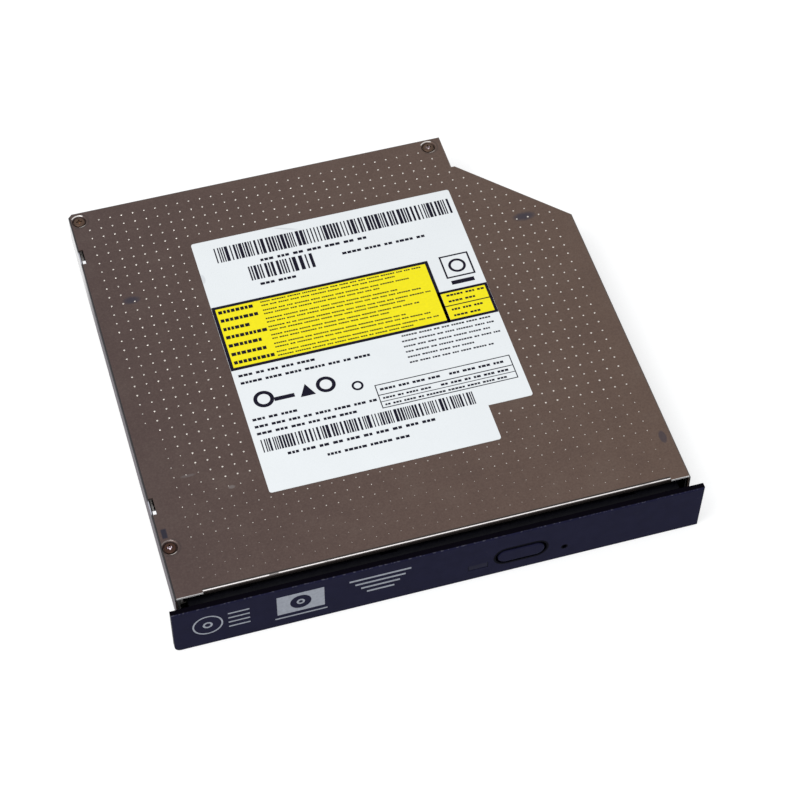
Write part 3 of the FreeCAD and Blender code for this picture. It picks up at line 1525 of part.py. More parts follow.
def front_ring(x, z, radius, width):
    """A flat ring on the front of the bezel, or a full disc where the width is the radius."""
    mark = Part.makeCylinder(radius, ink_sheet, V(x, bezel_front_y, z), V(0, -1, 0))
    if width < radius:
        mark = mark.cut(Part.makeCylinder(radius - width, ink_sheet, V(x, bezel_front_y, z), V(0, -1, 0)))
    return mark


def front_field(x, length, z, height):
    return box(x, x + length, bezel_front_y - ink_sheet, bezel_front_y, z, z + height)


def build_parts():
    parts = {
        "top_cover": make_top_cover(),
        "base_pan": make_base_pan(),
        "cover_screws": make_cover_screws(),
        "left_guide": on_left(make_guide(left_rail_rear_y)),
        "right_guide": make_guide(right_rail_rear_y),
        "left_rail": on_left(make_rail(left_rail_rear_y)),
        "right_rail": make_rail(right_rail_rear_y),
        "tray": make_tray(),
        "front_bezel": make_front_bezel(),
        "eject_button": make_eject_button(),
        "indicator_window": make_indicator_window(),
        "front_board": make_front_board(),
        "eject_switch": make_eject_switch(),
        "indicator_lamp": make_indicator_lamp(),
        "lock_lever": make_lock_lever(),
        "lock_stud": make_lock_stud(),
        "lock_solenoid": make_solenoid(),
        "eject_plunger": make_eject_plunger(),
        "eject_spring": make_eject_spring(),
        "relay_board": make_relay_board(),
        "tray_ribbon": make_tray_ribbon(),
        "ribbon_socket": make_ribbon_socket(),
        "main_board": make_main_board(),
        "board_screws": make_board_screws(),
        "insulator": make_insulator(),
        "controller_chip": make_controller_chip(),
        "board_chips": make_board_chips(),
        "rear_connector": make_rear_connector(),
        "connector_contacts": make_connector_contacts(),
        "rating_label": make_rating_label(),
        "label_fields": make_label_fields(),
        "label_print": make_label_print(),
        "bezel_print": make_bezel_print(),
    }
    on_traverse = {
        "traverse_chassis": make_chassis(),
        "traverse_cover": make_traverse_cover(),
        "dampers": make_dampers(),
        "damper_screws": make_damper_screws(),
        "motor_base": make_motor_base(),
        "spindle_flex": make_spindle_flex(),
        "spindle_bearing": make_spindle_bearing(),
        "stator": make_stator(),
        "rotor": make_rotor(),
        "rotor_magnet": make_rotor_magnet(),
        "turntable": make_turntable(),
        "turntable_pad": make_turntable_pad(),
        "guide_shafts": make_guide_shafts(),
        "pickup_sled": make_pickup_sled(),
        "drive_nut": make_drive_nut(),
        "actuator_yoke": make_actuator_yoke(),
        "lens_holder": make_lens_holder(),
        "objective_lens": make_objective_lens(),
        "lead_screw": make_lead_screw(),
        "feed_motor": make_feed_motor(),
    }
    for i in range(claw_count):
        on_traverse["disc_claw_%d" % (i + 1)] = make_claw(i)
    for name, shape in on_traverse.items():
        parts[name] = at_spindle(shape)
    return parts


os.makedirs("parts", exist_ok=True)
for node, solid in build_parts().items():
    solid.exportStep("parts/%s.step" % node)
    print(node, len(solid.Solids), solid.isValid(), round(solid.Volume, 1))
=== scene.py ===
import json
import math
import random

import bpy
from mathutils import Euler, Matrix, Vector


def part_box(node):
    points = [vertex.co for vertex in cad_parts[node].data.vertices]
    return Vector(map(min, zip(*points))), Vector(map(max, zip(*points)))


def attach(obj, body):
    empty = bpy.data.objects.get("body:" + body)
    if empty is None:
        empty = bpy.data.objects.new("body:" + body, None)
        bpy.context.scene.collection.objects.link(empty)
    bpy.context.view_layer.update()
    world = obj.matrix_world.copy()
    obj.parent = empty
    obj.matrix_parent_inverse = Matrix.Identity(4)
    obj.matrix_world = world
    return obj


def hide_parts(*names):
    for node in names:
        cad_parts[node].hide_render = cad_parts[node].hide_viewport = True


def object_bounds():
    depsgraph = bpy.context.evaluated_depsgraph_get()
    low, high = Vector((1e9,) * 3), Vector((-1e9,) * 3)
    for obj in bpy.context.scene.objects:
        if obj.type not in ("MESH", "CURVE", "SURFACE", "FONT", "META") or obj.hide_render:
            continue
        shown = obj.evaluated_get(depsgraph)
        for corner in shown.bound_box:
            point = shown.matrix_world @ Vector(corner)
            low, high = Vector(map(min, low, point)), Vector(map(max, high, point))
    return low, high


# The looks of a slim disc drive. Sizes in the helpers are in millimetres, as in the part's own
# drawing, and are turned into metres where a mesh is made.

MM = 0.001
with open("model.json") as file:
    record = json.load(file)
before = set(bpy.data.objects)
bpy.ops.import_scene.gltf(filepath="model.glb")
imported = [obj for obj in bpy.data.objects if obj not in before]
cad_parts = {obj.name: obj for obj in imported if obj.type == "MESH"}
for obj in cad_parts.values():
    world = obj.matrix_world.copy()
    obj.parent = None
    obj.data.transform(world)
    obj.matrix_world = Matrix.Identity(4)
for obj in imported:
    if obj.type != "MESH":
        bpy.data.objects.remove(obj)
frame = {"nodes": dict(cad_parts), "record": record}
cad_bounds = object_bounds()
scene = bpy.context.scene
nodes = frame["nodes"]


def top_of(node):
    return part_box(node)[1][2] / MM


COVER_Z = top_of("top_cover")
LABEL_Z = top_of("rating_label")
FIELD_Z = top_of("label_fields")
BEZEL_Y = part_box("front_bezel")[0][1] / MM

# Places in the part's own drawing: the slots in the cover's left bend, the cover's screws, the
# middle of the eject button with half its straight length, and the emergency hole
SLOT_FRONTS = (25.0, 107.8)
SCREW_PLACES = ((-61.5, 122.7), (34.5, 123.0), (-61.8, 14.7))
BUTTON_PLACE = (19.8, 3.85)
BUTTON_STRAIGHT = 3.75
HOLE_PLACE = (30.9, 1.8)

# Colours that more than one finish uses, or that the photo gives
COVER_LEFT = (0.079, 0.051, 0.046)
COVER_MIDDLE = (0.103, 0.0655, 0.053)
COVER_RIGHT = (0.115, 0.0735, 0.056)
FRONT_BLACK = (0.0118, 0.0118, 0.031)
SHADE = (0.001, 0.001, 0.004)
DIRT = (0.03, 0.028, 0.045)

# How far noise eats into the edge of a smudge, as a share of its size
RAGGED = 0.9


# Materials


class Shader:
    """A Principled material with short ways to add procedural detail."""

    def __init__(self, name, color, rough, metal=0.0):
        self.material = bpy.data.materials.new(name)
        self.material.use_nodes = True
        self.tree = self.material.node_tree
        self.shader = self.tree.nodes["Principled BSDF"]
        self.set("Base Color", (*color, 1.0))
        self.set("Roughness", rough)
        self.set("Metallic", metal)
        self.material.diffuse_color = (*color, 1.0)
        self.color = color
        self.place = None

    def set(self, socket, value):
        self.shader.inputs[socket].default_value = value

    def node(self, kind, **inputs):
        made = self.tree.nodes.new(kind)
        for socket, value in inputs.items():
            made.inputs[socket.replace("_", " ")].default_value = value
        return made

    def link(self, source, target):
        self.tree.links.new(source, target)

    def coords(self, scale=(1.0, 1.0, 1.0)):
        """The row's own coordinates in millimetres, stretched by a scale."""
        if self.place is None:
            self.place = self.node("ShaderNodeTexCoord")
        mapping = self.node("ShaderNodeMapping")
        mapping.inputs["Scale"].default_value = [1000.0 * s for s in scale]
        self.link(self.place.outputs["Object"], mapping.inputs["Vector"])
        return mapping.outputs["Vector"]

    def noise(self, size, detail=3.0, stretch=(1.0, 1.0, 1.0)):
        noise = self.node("ShaderNodeTexNoise", Scale=1.0, Detail=detail, Roughness=0.55)
        self.link(self.coords([s / size for s in stretch]), noise.inputs["Vector"])
        return noise.outputs["Fac"]

    def cells(self, size):
        cells = self.node("ShaderNodeTexVoronoi", Scale=1.0)
        self.link(self.coords((1 / size,) * 3), cells.inputs["Vector"])
        return cells.outputs["Distance"]

    def ramp(self, value, low, high, out_low=0.0, out_high=1.0):
        """value from low to high becomes out_low to out_high, held at both ends."""
        ramp = self.node("ShaderNodeMapRange")
        ramp.inputs["From Min"].default_value = low
        ramp.inputs["From Max"].default_value = high
        ramp.inputs["To Min"].default_value = out_low
        ramp.inputs["To Max"].default_value = out_high
        self.link(value, ramp.inputs["Value"])
        return ramp.outputs["Result"]

    def maths(self, operation, a, b):
        maths = self.node("ShaderNodeMath")
        maths.operation = operation
        for value, socket in ((a, maths.inputs[0]), (b, maths.inputs[1])):
            if isinstance(value, (int, float)):
                socket.default_value = value
            else:
                self.link(value, socket)
        return maths.outputs[0]

    def both(self, *masks):
        """1 only where every mask is 1."""
        result = masks[0]
        for mask in masks[1:]:
            result = self.maths("MULTIPLY", result, mask)
        return result

    def squares(self, a, b):
        return self.maths("ADD", self.maths("MULTIPLY", a, a), self.maths("MULTIPLY", b, b))

    def axis(self, name):
        split = self.node("ShaderNodeSeparateXYZ")
        self.link(self.coords(), split.inputs[0])
        return split.outputs[name]

    def turned(self, x, y, turn):
        """Distances from a point on the top, along a direction and across it."""
        dx = self.maths("SUBTRACT", self.axis("X"), x)
        dy = self.maths("SUBTRACT", self.axis("Y"), y)
        cos, sin = math.cos(math.radians(turn)), math.sin(math.radians(turn))
        along = self.maths("ADD", self.maths("MULTIPLY", dx, cos), self.maths("MULTIPLY", dy, sin))
        across = self.maths("SUBTRACT", self.maths("MULTIPLY", dy, cos), self.maths("MULTIPLY", dx, sin))
        return along, across

    def band(self, value, low, high, soft=0.08):
        """1 where value lies from low to high, 0 outside."""
        return self.both(self.ramp(value, low - soft, low + soft), self.ramp(value, high + soft, high - soft))

    def spot(self, x, y, half_x, half_y, soft=0.35, turn=0.0):
        """1 inside an ellipse on the top, 0 outside, with a ragged soft edge."""
        along, across = self.turned(x, y, turn)
        inside = self.squares(self.maths("DIVIDE", along, half_x), self.maths("DIVIDE", across, half_y))
        ragged = self.maths("MULTIPLY", self.noise(1.6, 4), RAGGED)
        reach = self.maths("ADD", inside, ragged)
        return self.ramp(reach, 1.0 + RAGGED / 2 + soft, 1.0 + RAGGED / 2 - soft)

    def arc(self, x, y, inner, outer, toward, spread, soft=0.05):
        """1 on a ring round a point, only within an angle either side of a direction."""
        along, across = self.turned(x, y, toward)
        reach = self.maths("SQRT", self.squares(along, across), 0.0)
        limit = math.cos(math.radians(spread))
        sector = self.ramp(self.maths("DIVIDE", along, reach), limit - 0.06, limit + 0.06)
        return self.both(self.band(reach, inner, outer, soft), sector)

    def paint(self, mask, color, strength=1.0):
        """Mixes a colour over what feeds the base colour so far, where mask is 1."""
        mix = self.node("ShaderNodeMix")
        mix.data_type = "RGBA"
        socket = self.shader.inputs["Base Color"]
        if socket.is_linked:
            self.link(socket.links[0].from_socket, mix.inputs["A"])
        else:
            mix.inputs["A"].default_value = socket.default_value
        mix.inputs["B"].default_value = (*color, 1.0)
        if strength != 1.0:
            mask = self.maths("MULTIPLY", mask, strength)
        self.link(mask, mix.inputs["Factor"])
        self.link(mix.outputs["Result"], socket)
        return self

    def mottle(self, size, share, detail=3.0):
        """Light and dark cloudiness of the colour, by a share of it either way."""
        value = self.noise(size, detail)
        lighter = [min(1.0, c * (1 + share)) for c in self.color]
        darker = [c * (1 - share) for c in self.color]
        self.paint(self.ramp(value, 0.5, 0.75), lighter)
        return self.paint(self.ramp(value, 0.5, 0.25), darker)

    def vary_rough(self, size, low, high):
        value = self.ramp(self.noise(size), 0.3, 0.7, low, high)
        self.link(value, self.shader.inputs["Roughness"])
        return self

    def dull(self, mask, rough):
        """Sets the roughness where mask is 1: a dull wall seen at a slant doesn't mirror the floor."""
        mix = self.node("ShaderNodeMix")
        socket = self.shader.inputs["Roughness"]
        self.link(socket.links[0].from_socket, mix.inputs["A"])
        mix.inputs["B"].default_value = rough
        self.link(mask, mix.inputs["Factor"])
        self.link(mix.outputs["Result"], socket)
        return self

    def bump(self, value, depth):
        """Adds relief of a depth in millimetres."""
        bump = self.node("ShaderNodeBump", Strength=1.0)
        bump.inputs["Distance"].default_value = depth * MM
        socket = self.shader.inputs["Normal"]
        if socket.is_linked:
            self.link(socket.links[0].from_socket, bump.inputs["Normal"])
        self.link(value, bump.inputs["Height"])
        self.link(bump.outputs["Normal"], socket)
        return self


def rolled_grain(steel):
    steel.bump(steel.noise(0.28, 3.0, (1.0, 0.25, 1.0)), 0.004)


def cover_steel():
    """The painted brown of the cover, darker to the left, with painted shade and highlights on its lip, edges
    and screw seats, a bare cut edge at its front, and its smudges.
    """
    steel = Shader("cover_steel", COVER_LEFT, 0.4, 0.6)
    x = steel.axis("X")
    steel.paint(steel.ramp(x, -62.0, 0.0), COVER_MIDDLE)
    steel.paint(steel.ramp(x, 0.0, 60.0), COVER_RIGHT)
    cloud = steel.noise(9.0, 3.0)
    steel.paint(steel.ramp(cloud, 0.5, 0.75), (0.16, 0.125, 0.105), 0.14)
    steel.paint(steel.ramp(cloud, 0.5, 0.25), (0.05, 0.03, 0.028), 0.14)
    grain = steel.noise(0.5, 2.0)
    steel.paint(steel.ramp(grain, 0.5, 0.75), (0.2, 0.16, 0.14), 0.12)
    steel.paint(steel.ramp(grain, 0.5, 0.25), (0.03, 0.02, 0.02), 0.2)
    steel.vary_rough(5.0, 0.36, 0.48)
    rolled_grain(steel)
    lip_light_and_cut_edge(steel)
    edge_light_and_shade(steel)
    smudge_cover(steel)
    seat_glints_and_shade(steel)
    return steel


def lip_light_and_cut_edge(steel):
    """Painted shade on the lip, a painted highlight along its bend, and a bare cut edge at its front."""
    x, y, z = steel.axis("X"), steel.axis("Y"), steel.axis("Z")
    along_lip = steel.band(x, -57.2, 59.0, 0.05)
    # Painted shade on the lip's front face
    steel.paint(steel.both(steel.ramp(y, 1.2, 1.1), along_lip), (0.03, 0.024, 0.022))
    # Painted highlight along the lip's bend, broken up by noise and dimmed in a gap near x = -40
    lip_highlight_breaks = steel.ramp(steel.noise(5.0, 2.0, (1.0, 0.02, 0.02)), 0.3, 0.42, 0.55, 1.0)
    gap = steel.ramp(steel.maths("ABSOLUTE", steel.maths("ADD", x, 40.0), 0.0), 1.0, 1.3, 0.3, 1.0)
    steel.paint(steel.both(steel.band(y, 0.6, 0.77, 0.05), along_lip, lip_highlight_breaks, gap), (0.95, 0.91, 0.9))
    steel.paint(steel.both(steel.ramp(y, 0.14, 0.08), steel.ramp(z, 12.0, 12.1)), (0.75, 0.74, 0.74))


def edge_light_and_shade(steel):
    """The left wall, dull in front and bright behind, painted grey as its reflection at a slant, with painted
    shade along its bend, painted highlights on the bars over its slots, and painted shade on the rear bend
    and the right wall.
    """
    x, y, z = steel.axis("X"), steel.axis("Y"), steel.axis("Z")
    wall = steel.ramp(x, -63.9, -63.97)
    steel.dull(steel.both(wall, steel.ramp(y, 110.0, 88.0)), 0.8)
    steel.dull(steel.both(wall, steel.ramp(y, 88.0, 110.0)), 0.12)
    # Painted reflection: the grey of the left wall seen at a slant
    steel.paint(wall, (0.18, 0.165, 0.18))
    # Painted shade along the bend atop the left wall
    steel.paint(steel.both(steel.ramp(x, -63.55, -63.65), steel.ramp(z, 11.6, 11.8)), (0.02, 0.018, 0.02))
    # Painted highlights on the bar over each slot
    for front in SLOT_FRONTS:
        along_slot = steel.band(y, front + 0.4, front + 4.4, 0.3)
        bar = steel.both(steel.ramp(x, -63.66, -63.74), along_slot, steel.ramp(z, 12.0, 12.2))
        steel.paint(bar, (0.38, 0.38, 0.43))
    # Painted shade on the rear bend and the right wall
    rear = steel.both(steel.ramp(y, 125.6, 125.75), steel.ramp(z, 11.0, 11.5))
    for edge in (rear, steel.ramp(x, 63.6, 63.75)):
        steel.paint(edge, (0.02, 0.016, 0.016))


def smudge_cover(steel):
    """The dark and pale smudges where the photo has them."""
    steel.paint(steel.spot(-54.0, 92.3, 2.0, 1.1, 0.7), DIRT, 0.8)
    steel.paint(steel.spot(51.5, 91.8, 2.6, 1.3, 0.7), DIRT, 0.8)
    x, y = steel.axis("X"), steel.axis("Y")
    patch = steel.both(steel.band(x, -62.9, -61.6, 0.15), steel.band(y, 17.5, 20.3, 0.25))
    steel.paint(patch, (0.012, 0.013, 0.028), 0.9)
    steel.paint(steel.spot(61.5, 13.0, 0.9, 1.8), DIRT, 0.6)
    steel.paint(steel.spot(-53.0, 34.0, 1.7, 0.4, 0.5), (0.2, 0.19, 0.2), 0.25)
    steel.paint(steel.spot(-43.5, 27.8, 0.8, 0.5, 0.5), (0.4, 0.4, 0.4), 0.2)


def seat_glints_and_shade(steel):
    """Painted highlights on the rims of the pressed seats under the screws, with painted shade round them."""
    for (x, y), glint in zip(SCREW_PLACES, (0.85, 0.75, 0.12)):
        # Painted highlights: an arc on the rear rim and one on the front inner wall of each seat
        steel.paint(steel.arc(x, y, 2.0, 2.2, 100.0, 45.0, 0.08), (0.95, 0.93, 0.9), glint)
        steel.paint(steel.arc(x, y, 1.85, 2.1, -75.0, 22.0, 0.06), (0.95, 0.9, 0.85), 0.8)
        # Painted shade in a ring round the front and right of each seat
        steel.paint(steel.arc(x, y, 2.25, 2.7, -30.0, 95.0, 0.1), (0.03, 0.024, 0.024), 0.35)


def screw_steel():
    """Brown plated heads, orange in the cross, with painted highlights in the cross of the rear right one
    and, brightest, the front left one.
    """
    head = metal("screw_steel", (0.1, 0.065, 0.048), 0.5, 0.6)
    head.paint(head.ramp(head.axis("Y"), 62.0, 58.0), (0.06, 0.032, 0.024))
    for x, y in SCREW_PLACES:
        middle = head.both(head.spot(x, y, 0.45, 0.45, 0.5), head.ramp(head.noise(0.5, 2.0), 0.4, 0.55))
        head.paint(middle, (0.4, 0.2, 0.1), 0.6)
    # Painted highlights in the cross of the heads
    glints = ((0.0, -0.1, 0.26), (-0.45, 0.15, 0.15), (0.4, 0.2, 0.13), (0.0, 0.45, 0.11))
    for (x, y), strength in zip(SCREW_PLACES[1:], (0.7, 1.0)):
        for dx, dy, size in glints:
            head.paint(head.spot(x + dx, y + dy, size, size, 0.3), (0.95, 0.88, 0.98), strength)
    return head


def base_steel():
    """Bare plated steel, with painted shade at the right end of the front edge, duller on its left side and
    painted darker toward the front there, and painted highlights on the lugs under the cover's slots.
    """
    steel = Shader("base_steel", (0.30, 0.29, 0.28), 0.42, 0.85)
    steel.mottle(9.0, 0.05)
    steel.mottle(0.55, 0.07, 2.0)
    steel.vary_rough(5.0, 0.38, 0.48)
    rolled_grain(steel)
    x, y, z = steel.axis("X"), steel.axis("Y"), steel.axis("Z")
    # Painted shade at the right end of the front edge
    steel.paint(steel.both(steel.ramp(x, 60.0, 60.6), steel.ramp(y, 4.2, 3.6)), (0.004, 0.004, 0.006))
    side = steel.ramp(x, -63.2, -63.35)
    steel.dull(steel.both(side, steel.ramp(y, 110.0, 88.0)), 0.85)
    # Painted shade: the left side darker toward the front
    steel.paint(steel.both(side, steel.ramp(y, 100.0, 60.0)), (0.17, 0.17, 0.18))
    # Painted highlights on the lugs under the cover's slots
    for front in SLOT_FRONTS:
        along_lug = steel.band(y, front - 0.2, front + 1.6, 0.1)
        lug = steel.both(steel.ramp(x, -62.3, -62.4), along_lug, steel.ramp(z, 10.6, 10.9))
        steel.paint(lug, (0.95, 0.95, 0.97))
    return steel


def plastic(name, color, rough, share=0.12):
    moulded = Shader(name, color, rough)
    moulded.mottle(3.5, share)
    moulded.vary_rough(2.0, rough - 0.05, rough + 0.08)
    moulded.bump(moulded.noise(0.35, 2.0), 0.01)
    return moulded


def tray_plastic():
    """Black moulding with its glare kept down, and painted shade along its front edge behind the bezel."""
    moulding = plastic("tray_plastic", (0.012, 0.012, 0.014), 0.45)
    moulding.set("Specular IOR Level", 0.15)
    # Painted shade along the front edge behind the bezel
    moulding.paint(moulding.ramp(moulding.axis("Y"), 3.0, 2.0), (0.002, 0.002, 0.004))
    return moulding


def dark_plastic(name, color):
    """Smooth blue-black moulding of the front, with hardly any glare."""
    shell = plastic(name, color, 0.34)
    shell.set("Specular IOR Level", 0.015)
    return shell


def away_from(shell, place):
    """Distances from a point on the bezel's front, sideways and upward."""
    x, z = place
    return shell.maths("SUBTRACT", shell.axis("X"), x), shell.maths("SUBTRACT", shell.axis("Z"), z)


def groove(shell, inner, outer):
    """Paints shade on a pill-shaped line round the eject button, at a distance from its middle line."""
    along, up = away_from(shell, BUTTON_PLACE)
    past = shell.maths("SUBTRACT", shell.maths("ABSOLUTE", along, 0.0), BUTTON_STRAIGHT)
    reach = shell.maths("SQRT", shell.squares(shell.maths("MAXIMUM", past, 0.0), up), 0.0)
    shell.paint(shell.band(reach, inner, outer, 0.06), SHADE)


def button_plastic():
    cap = dark_plastic("button_plastic", FRONT_BLACK)
    groove(cap, 2.15, 3.2)
    return cap


def bezel_plastic():
    """The bezel with a little dust, shaded gaps and hole, painted shade behind its front face, and painted
    highlight flecks on its top edge.
    """
    shell = dark_plastic("bezel_plastic", FRONT_BLACK)
    dust = shell.ramp(shell.noise(0.6, 4.0, (0.35, 1.0, 1.0)), 0.66, 0.78)
    shell.paint(dust, (0.06, 0.06, 0.08), 0.35)
    groove(shell, 2.7, 3.25)
    shell.paint(shell.ramp(shell.squares(*away_from(shell, HOLE_PLACE)), 0.95, 0.7), SHADE)
    y, z = shell.axis("Y"), shell.axis("Z")
    # Painted shade on the bezel behind its front face
    shell.paint(shell.ramp(y, BEZEL_Y + 0.25, BEZEL_Y + 0.4), (0.0015, 0.001, 0.003))
    # Painted highlight flecks along the top front edge
    top_edge = shell.both(shell.ramp(z, 12.15, 12.28), shell.ramp(y, BEZEL_Y + 0.45, BEZEL_Y + 0.2))
    highlight_flecks = shell.ramp(shell.noise(0.7, 2.0), 0.52, 0.66)
    shell.paint(shell.both(top_edge, highlight_flecks), (0.3, 0.3, 0.35), 0.2)
    return shell


def metal(name, color, rough, size=0.8, share=0.12):
    cast = Shader(name, color, rough, 1.0)
    cast.mottle(size, share)
    cast.vary_rough(size * 2, rough - 0.05, rough + 0.1)
    cast.bump(cast.noise(size * 0.4, 3.0), 0.004)
    return cast


def rail_steel():
    """Bright rolled steel, with painted shade at the right rails' front tips."""
    steel = metal("rail_steel", (0.55, 0.55, 0.54), 0.25)
    # Painted shade at the right rails' front tips
    tips = steel.both(steel.ramp(steel.axis("X"), 57.5, 58.5), steel.ramp(steel.axis("Y"), 4.2, 3.4))
    steel.paint(tips, (0.006, 0.006, 0.008))
    return steel


def circuit_board():
    """Green laminate with faint blocks of tracks and small plated holes."""
    board = Shader("board_laminate", (0.012, 0.09, 0.035), 0.35)
    board.set("Coat Weight", 0.3)
    tracks = board.node("ShaderNodeTexBrick", Scale=1.0)
    tracks.inputs["Mortar Size"].default_value = 0.06
    board.link(board.coords((0.45, 0.45, 0.45)), tracks.inputs["Vector"])
    board.paint(board.ramp(tracks.outputs["Fac"], 0.2, 0.8), (0.02, 0.16, 0.06))
    vias = board.ramp(board.cells(2.3), 0.13, 0.1)
    board.paint(vias, (0.55, 0.5, 0.35))
    board.bump(board.noise(0.5), 0.004)
    return board


def label_paper():
    """White paper with painted shade along a crease at its rear edge, and a scuff at its left one."""
    paper = Shader("label_paper", (0.83, 0.86, 0.875), 0.3)
    paper.mottle(14.0, 0.02)
    paper.mottle(0.3, 0.02)
    paper.vary_rough(6.0, 0.26, 0.38)
    # Painted shade along a crease
    paper.paint(paper.spot(-10.0, 105.0, 3.2, 0.25, 0.6, -20.0), (0.4, 0.42, 0.45), 0.4)
    paper.paint(paper.spot(-35.0, 94.0, 0.7, 1.6), (0.5, 0.52, 0.56), 0.4)
    paper.bump(paper.noise(5.0, 2.0), 0.02)
    return paper


def ink(name, color, rough=0.35, glare=0.5, share=0.15):
    printed = Shader(name, color, rough)
    printed.set("Specular IOR Level", glare)
    printed.mottle(0.8, share)
    printed.bump(printed.noise(0.4), 0.003)
    return printed


def rubber(name):
    soft = Shader(name, (0.012, 0.012, 0.013), 0.75)
    soft.mottle(0.7, 0.3)
    soft.bump(soft.noise(0.25, 4.0), 0.02)
    return soft


def clear(name, color, rough):
    glass = Shader(name, color, rough)
    glass.set("Transmission Weight", 0.6)
    glass.vary_rough(1.2, rough, rough + 0.08)
    return glass


def make_materials():
    """One material for each slot of the record, and for the label's and bezel's print."""
    made = {
        "cover_steel": cover_steel(),
        "base_steel": base_steel(),
        "screw_steel": screw_steel(),
        "rail_steel": rail_steel(),
        "tray_plastic": tray_plastic(),
        "bezel_plastic": bezel_plastic(),
        "button_plastic": button_plastic(),
        "window_plastic": dark_plastic("window_plastic", (0.02, 0.02, 0.036)),
        "board_laminate": circuit_board(),
        "chip_plastic": plastic("chip_plastic", (0.02, 0.02, 0.022), 0.5),
        "socket_plastic": plastic("socket_plastic", (0.6, 0.57, 0.5), 0.45, share=0.05),
        "lamp_resin": clear("lamp_resin", (0.8, 0.72, 0.4), 0.1),
        "cable_film": plastic("cable_film", (0.7, 0.7, 0.66), 0.3, share=0.04),
        "insulator_film": plastic("insulator_film", (0.02, 0.02, 0.02), 0.3),
        "zinc_casting": metal("zinc_casting", (0.4, 0.4, 0.41), 0.42, 1.2),
        "bearing_metal": metal("bearing_metal", (0.45, 0.3, 0.13), 0.35),
        "coil_copper": metal("coil_copper", (0.55, 0.22, 0.08), 0.3),
        "magnet_ferrite": metal("magnet_ferrite", (0.06, 0.06, 0.065), 0.5),
        "turntable_plastic": plastic("turntable_plastic", (0.03, 0.03, 0.032), 0.4),
        "soft_rubber": rubber("soft_rubber"),
        "contact_metal": metal("contact_metal", (0.8, 0.55, 0.2), 0.22),
        "lens_glass": clear("lens_glass", (0.75, 0.82, 0.95), 0.03),
        "spring_steel": metal("spring_steel", (0.5, 0.5, 0.5), 0.3),
        "lever_plastic": plastic("lever_plastic", (0.72, 0.72, 0.69), 0.4, share=0.04),
        "label_paper": label_paper(),
        "label_yellow": ink("label_yellow", (0.93, 0.81, 0.0), 0.35, 0.3, 0.04),
        "label_ink": ink("label_ink", (0.006, 0.005, 0.016), 0.35, 0.08),
        "bezel_ink": ink("bezel_ink", (0.27, 0.29, 0.34)),
    }
    return {name: shader.material for name, shader in made.items()}


def dress_nodes(materials):
    for part in frame["record"]["subparts"]:
        mesh = nodes[part["node"]].data
        mesh.materials.clear()
        mesh.materials.append(materials[part["material_slot"]])


# Pieces added to the model

def new_piece(name, verts, faces, material):
    """A piece that stays on the case, from points in millimetres."""
    mesh = bpy.data.meshes.new(name)
    mesh.from_pydata([[c * MM for c in v] for v in verts], [], faces)
    mesh.materials.append(material)
    piece = bpy.data.objects.new(name, mesh)
    scene.collection.objects.link(piece)
    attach(piece, "case")
    return piece


PRINT_THICK = 0.02


class Ink:
    """Gathers thin flat shapes on the label and makes one mesh of them."""

    def __init__(self, z, thick=PRINT_THICK):
        self.z = z
        self.thick = thick
        self.verts = []
        self.faces = []

    def polygon(self, points):
        start = len(self.verts)
        count = len(points)
        for z in (self.z, self.z + self.thick):
            self.verts += [(x, y, z) for x, y in points]
        self.faces.append([start + i for i in reversed(range(count))])
        self.faces.append([start + count + i for i in range(count)])
        for i in range(count):
            j = (i + 1) % count
            self.faces.append([start + i, start + j, start + count + j, start + count + i])

    def rect(self, x0, x1, y0, y1):
        self.polygon([(x0, y0), (x1, y0), (x1, y1), (x0, y1)])

    def outline(self, x0, x1, y0, y1, width):
        self.rect(x0, x1, y0, y0 + width)
        self.rect(x0, x1, y1 - width, y1)
        self.rect(x0, x0 + width, y0 + width, y1 - width)
        self.rect(x1 - width, x1, y0 + width, y1 - width)

    def ring(self, x, y, outer, inner):
        steps = 28
        for i in range(steps):
            a, b = 2 * math.pi * i / steps, 2 * math.pi * (i + 1) / steps
            self.polygon([(x + r * math.cos(t), y + r * math.sin(t))
                          for r, t in ((outer, a), (outer, b), (inner, b), (inner, a))])

    def bars(self, x0, x1, y0, y1, thin, rng, heavy):
        """Upright bars in the manner of a scanner code: mostly thin, some wide."""
        x = x0
        while x < x1 - thin:
            width = thin * (2.8 if rng.random() < heavy else 1.1 if rng.random() < 0.6 else 1.9)
            self.rect(x, min(x + width, x1), y0, y1)
            x += width + thin * (0.9 if rng.random() < 0.68 else 2.0)

    def words(self, x0, x1, y, height, rng, longest, fill=0.5):
        """Rows of small even blocks that stand for a line of small print."""
        x = x0
        half = height * fill / 2
        while x < x1 - height:
            end = min(x + rng.uniform(1.6, longest) * height / 1.4, x1)
            while x < end:
                wide = height * rng.uniform(0.4, 0.75)
                self.rect(x, x + wide, y - half, y + half)
                x += wide + height * 0.16
            x += height * 0.5

    def build(self, name, materials):
        return new_piece(name, self.verts, self.faces, materials["label_ink"])


# The print on the white of the label, in the order in which it is drawn. Bars: left, right, front,
# rear, thin width, share of wide ones. Words: left, right, middle of the line, height, longest word.
BARS = ((-29.9, 34.2, 98.2, 103.4, 0.3, 0.14), (-22.8, -5.7, 90.0, 94.9, 0.36, 0.14),
        (-33.5, 21.5, 35.5, 39.5, 0.27, 0.06))
CODE_WORDS = ((-19.0, 9.0, 96.2, 1.7, 3.0), (2.0, 24.5, 92.5, 1.6, 5.0), (-21.0, -9.0, 88.3, 1.6, 4.0),
              (-28.0, 10.5, 33.7, 1.6, 2.6), (-18.8, 1.6, 30.6, 1.5, 5.0))
MAKER_WORDS = ((60.3, -15.0), (57.9, -1.0), (45.9, -21.5), (43.6, -3.0), (41.4, -8.0))
SMALL_WORDS = ((9.0, 33.0), (8.6, 33.4), (8.6, 31.0), (8.6, 33.4), (8.6, 26.0), (8.6, 30.5))
SMALL_WORDS_REAR = 61.4
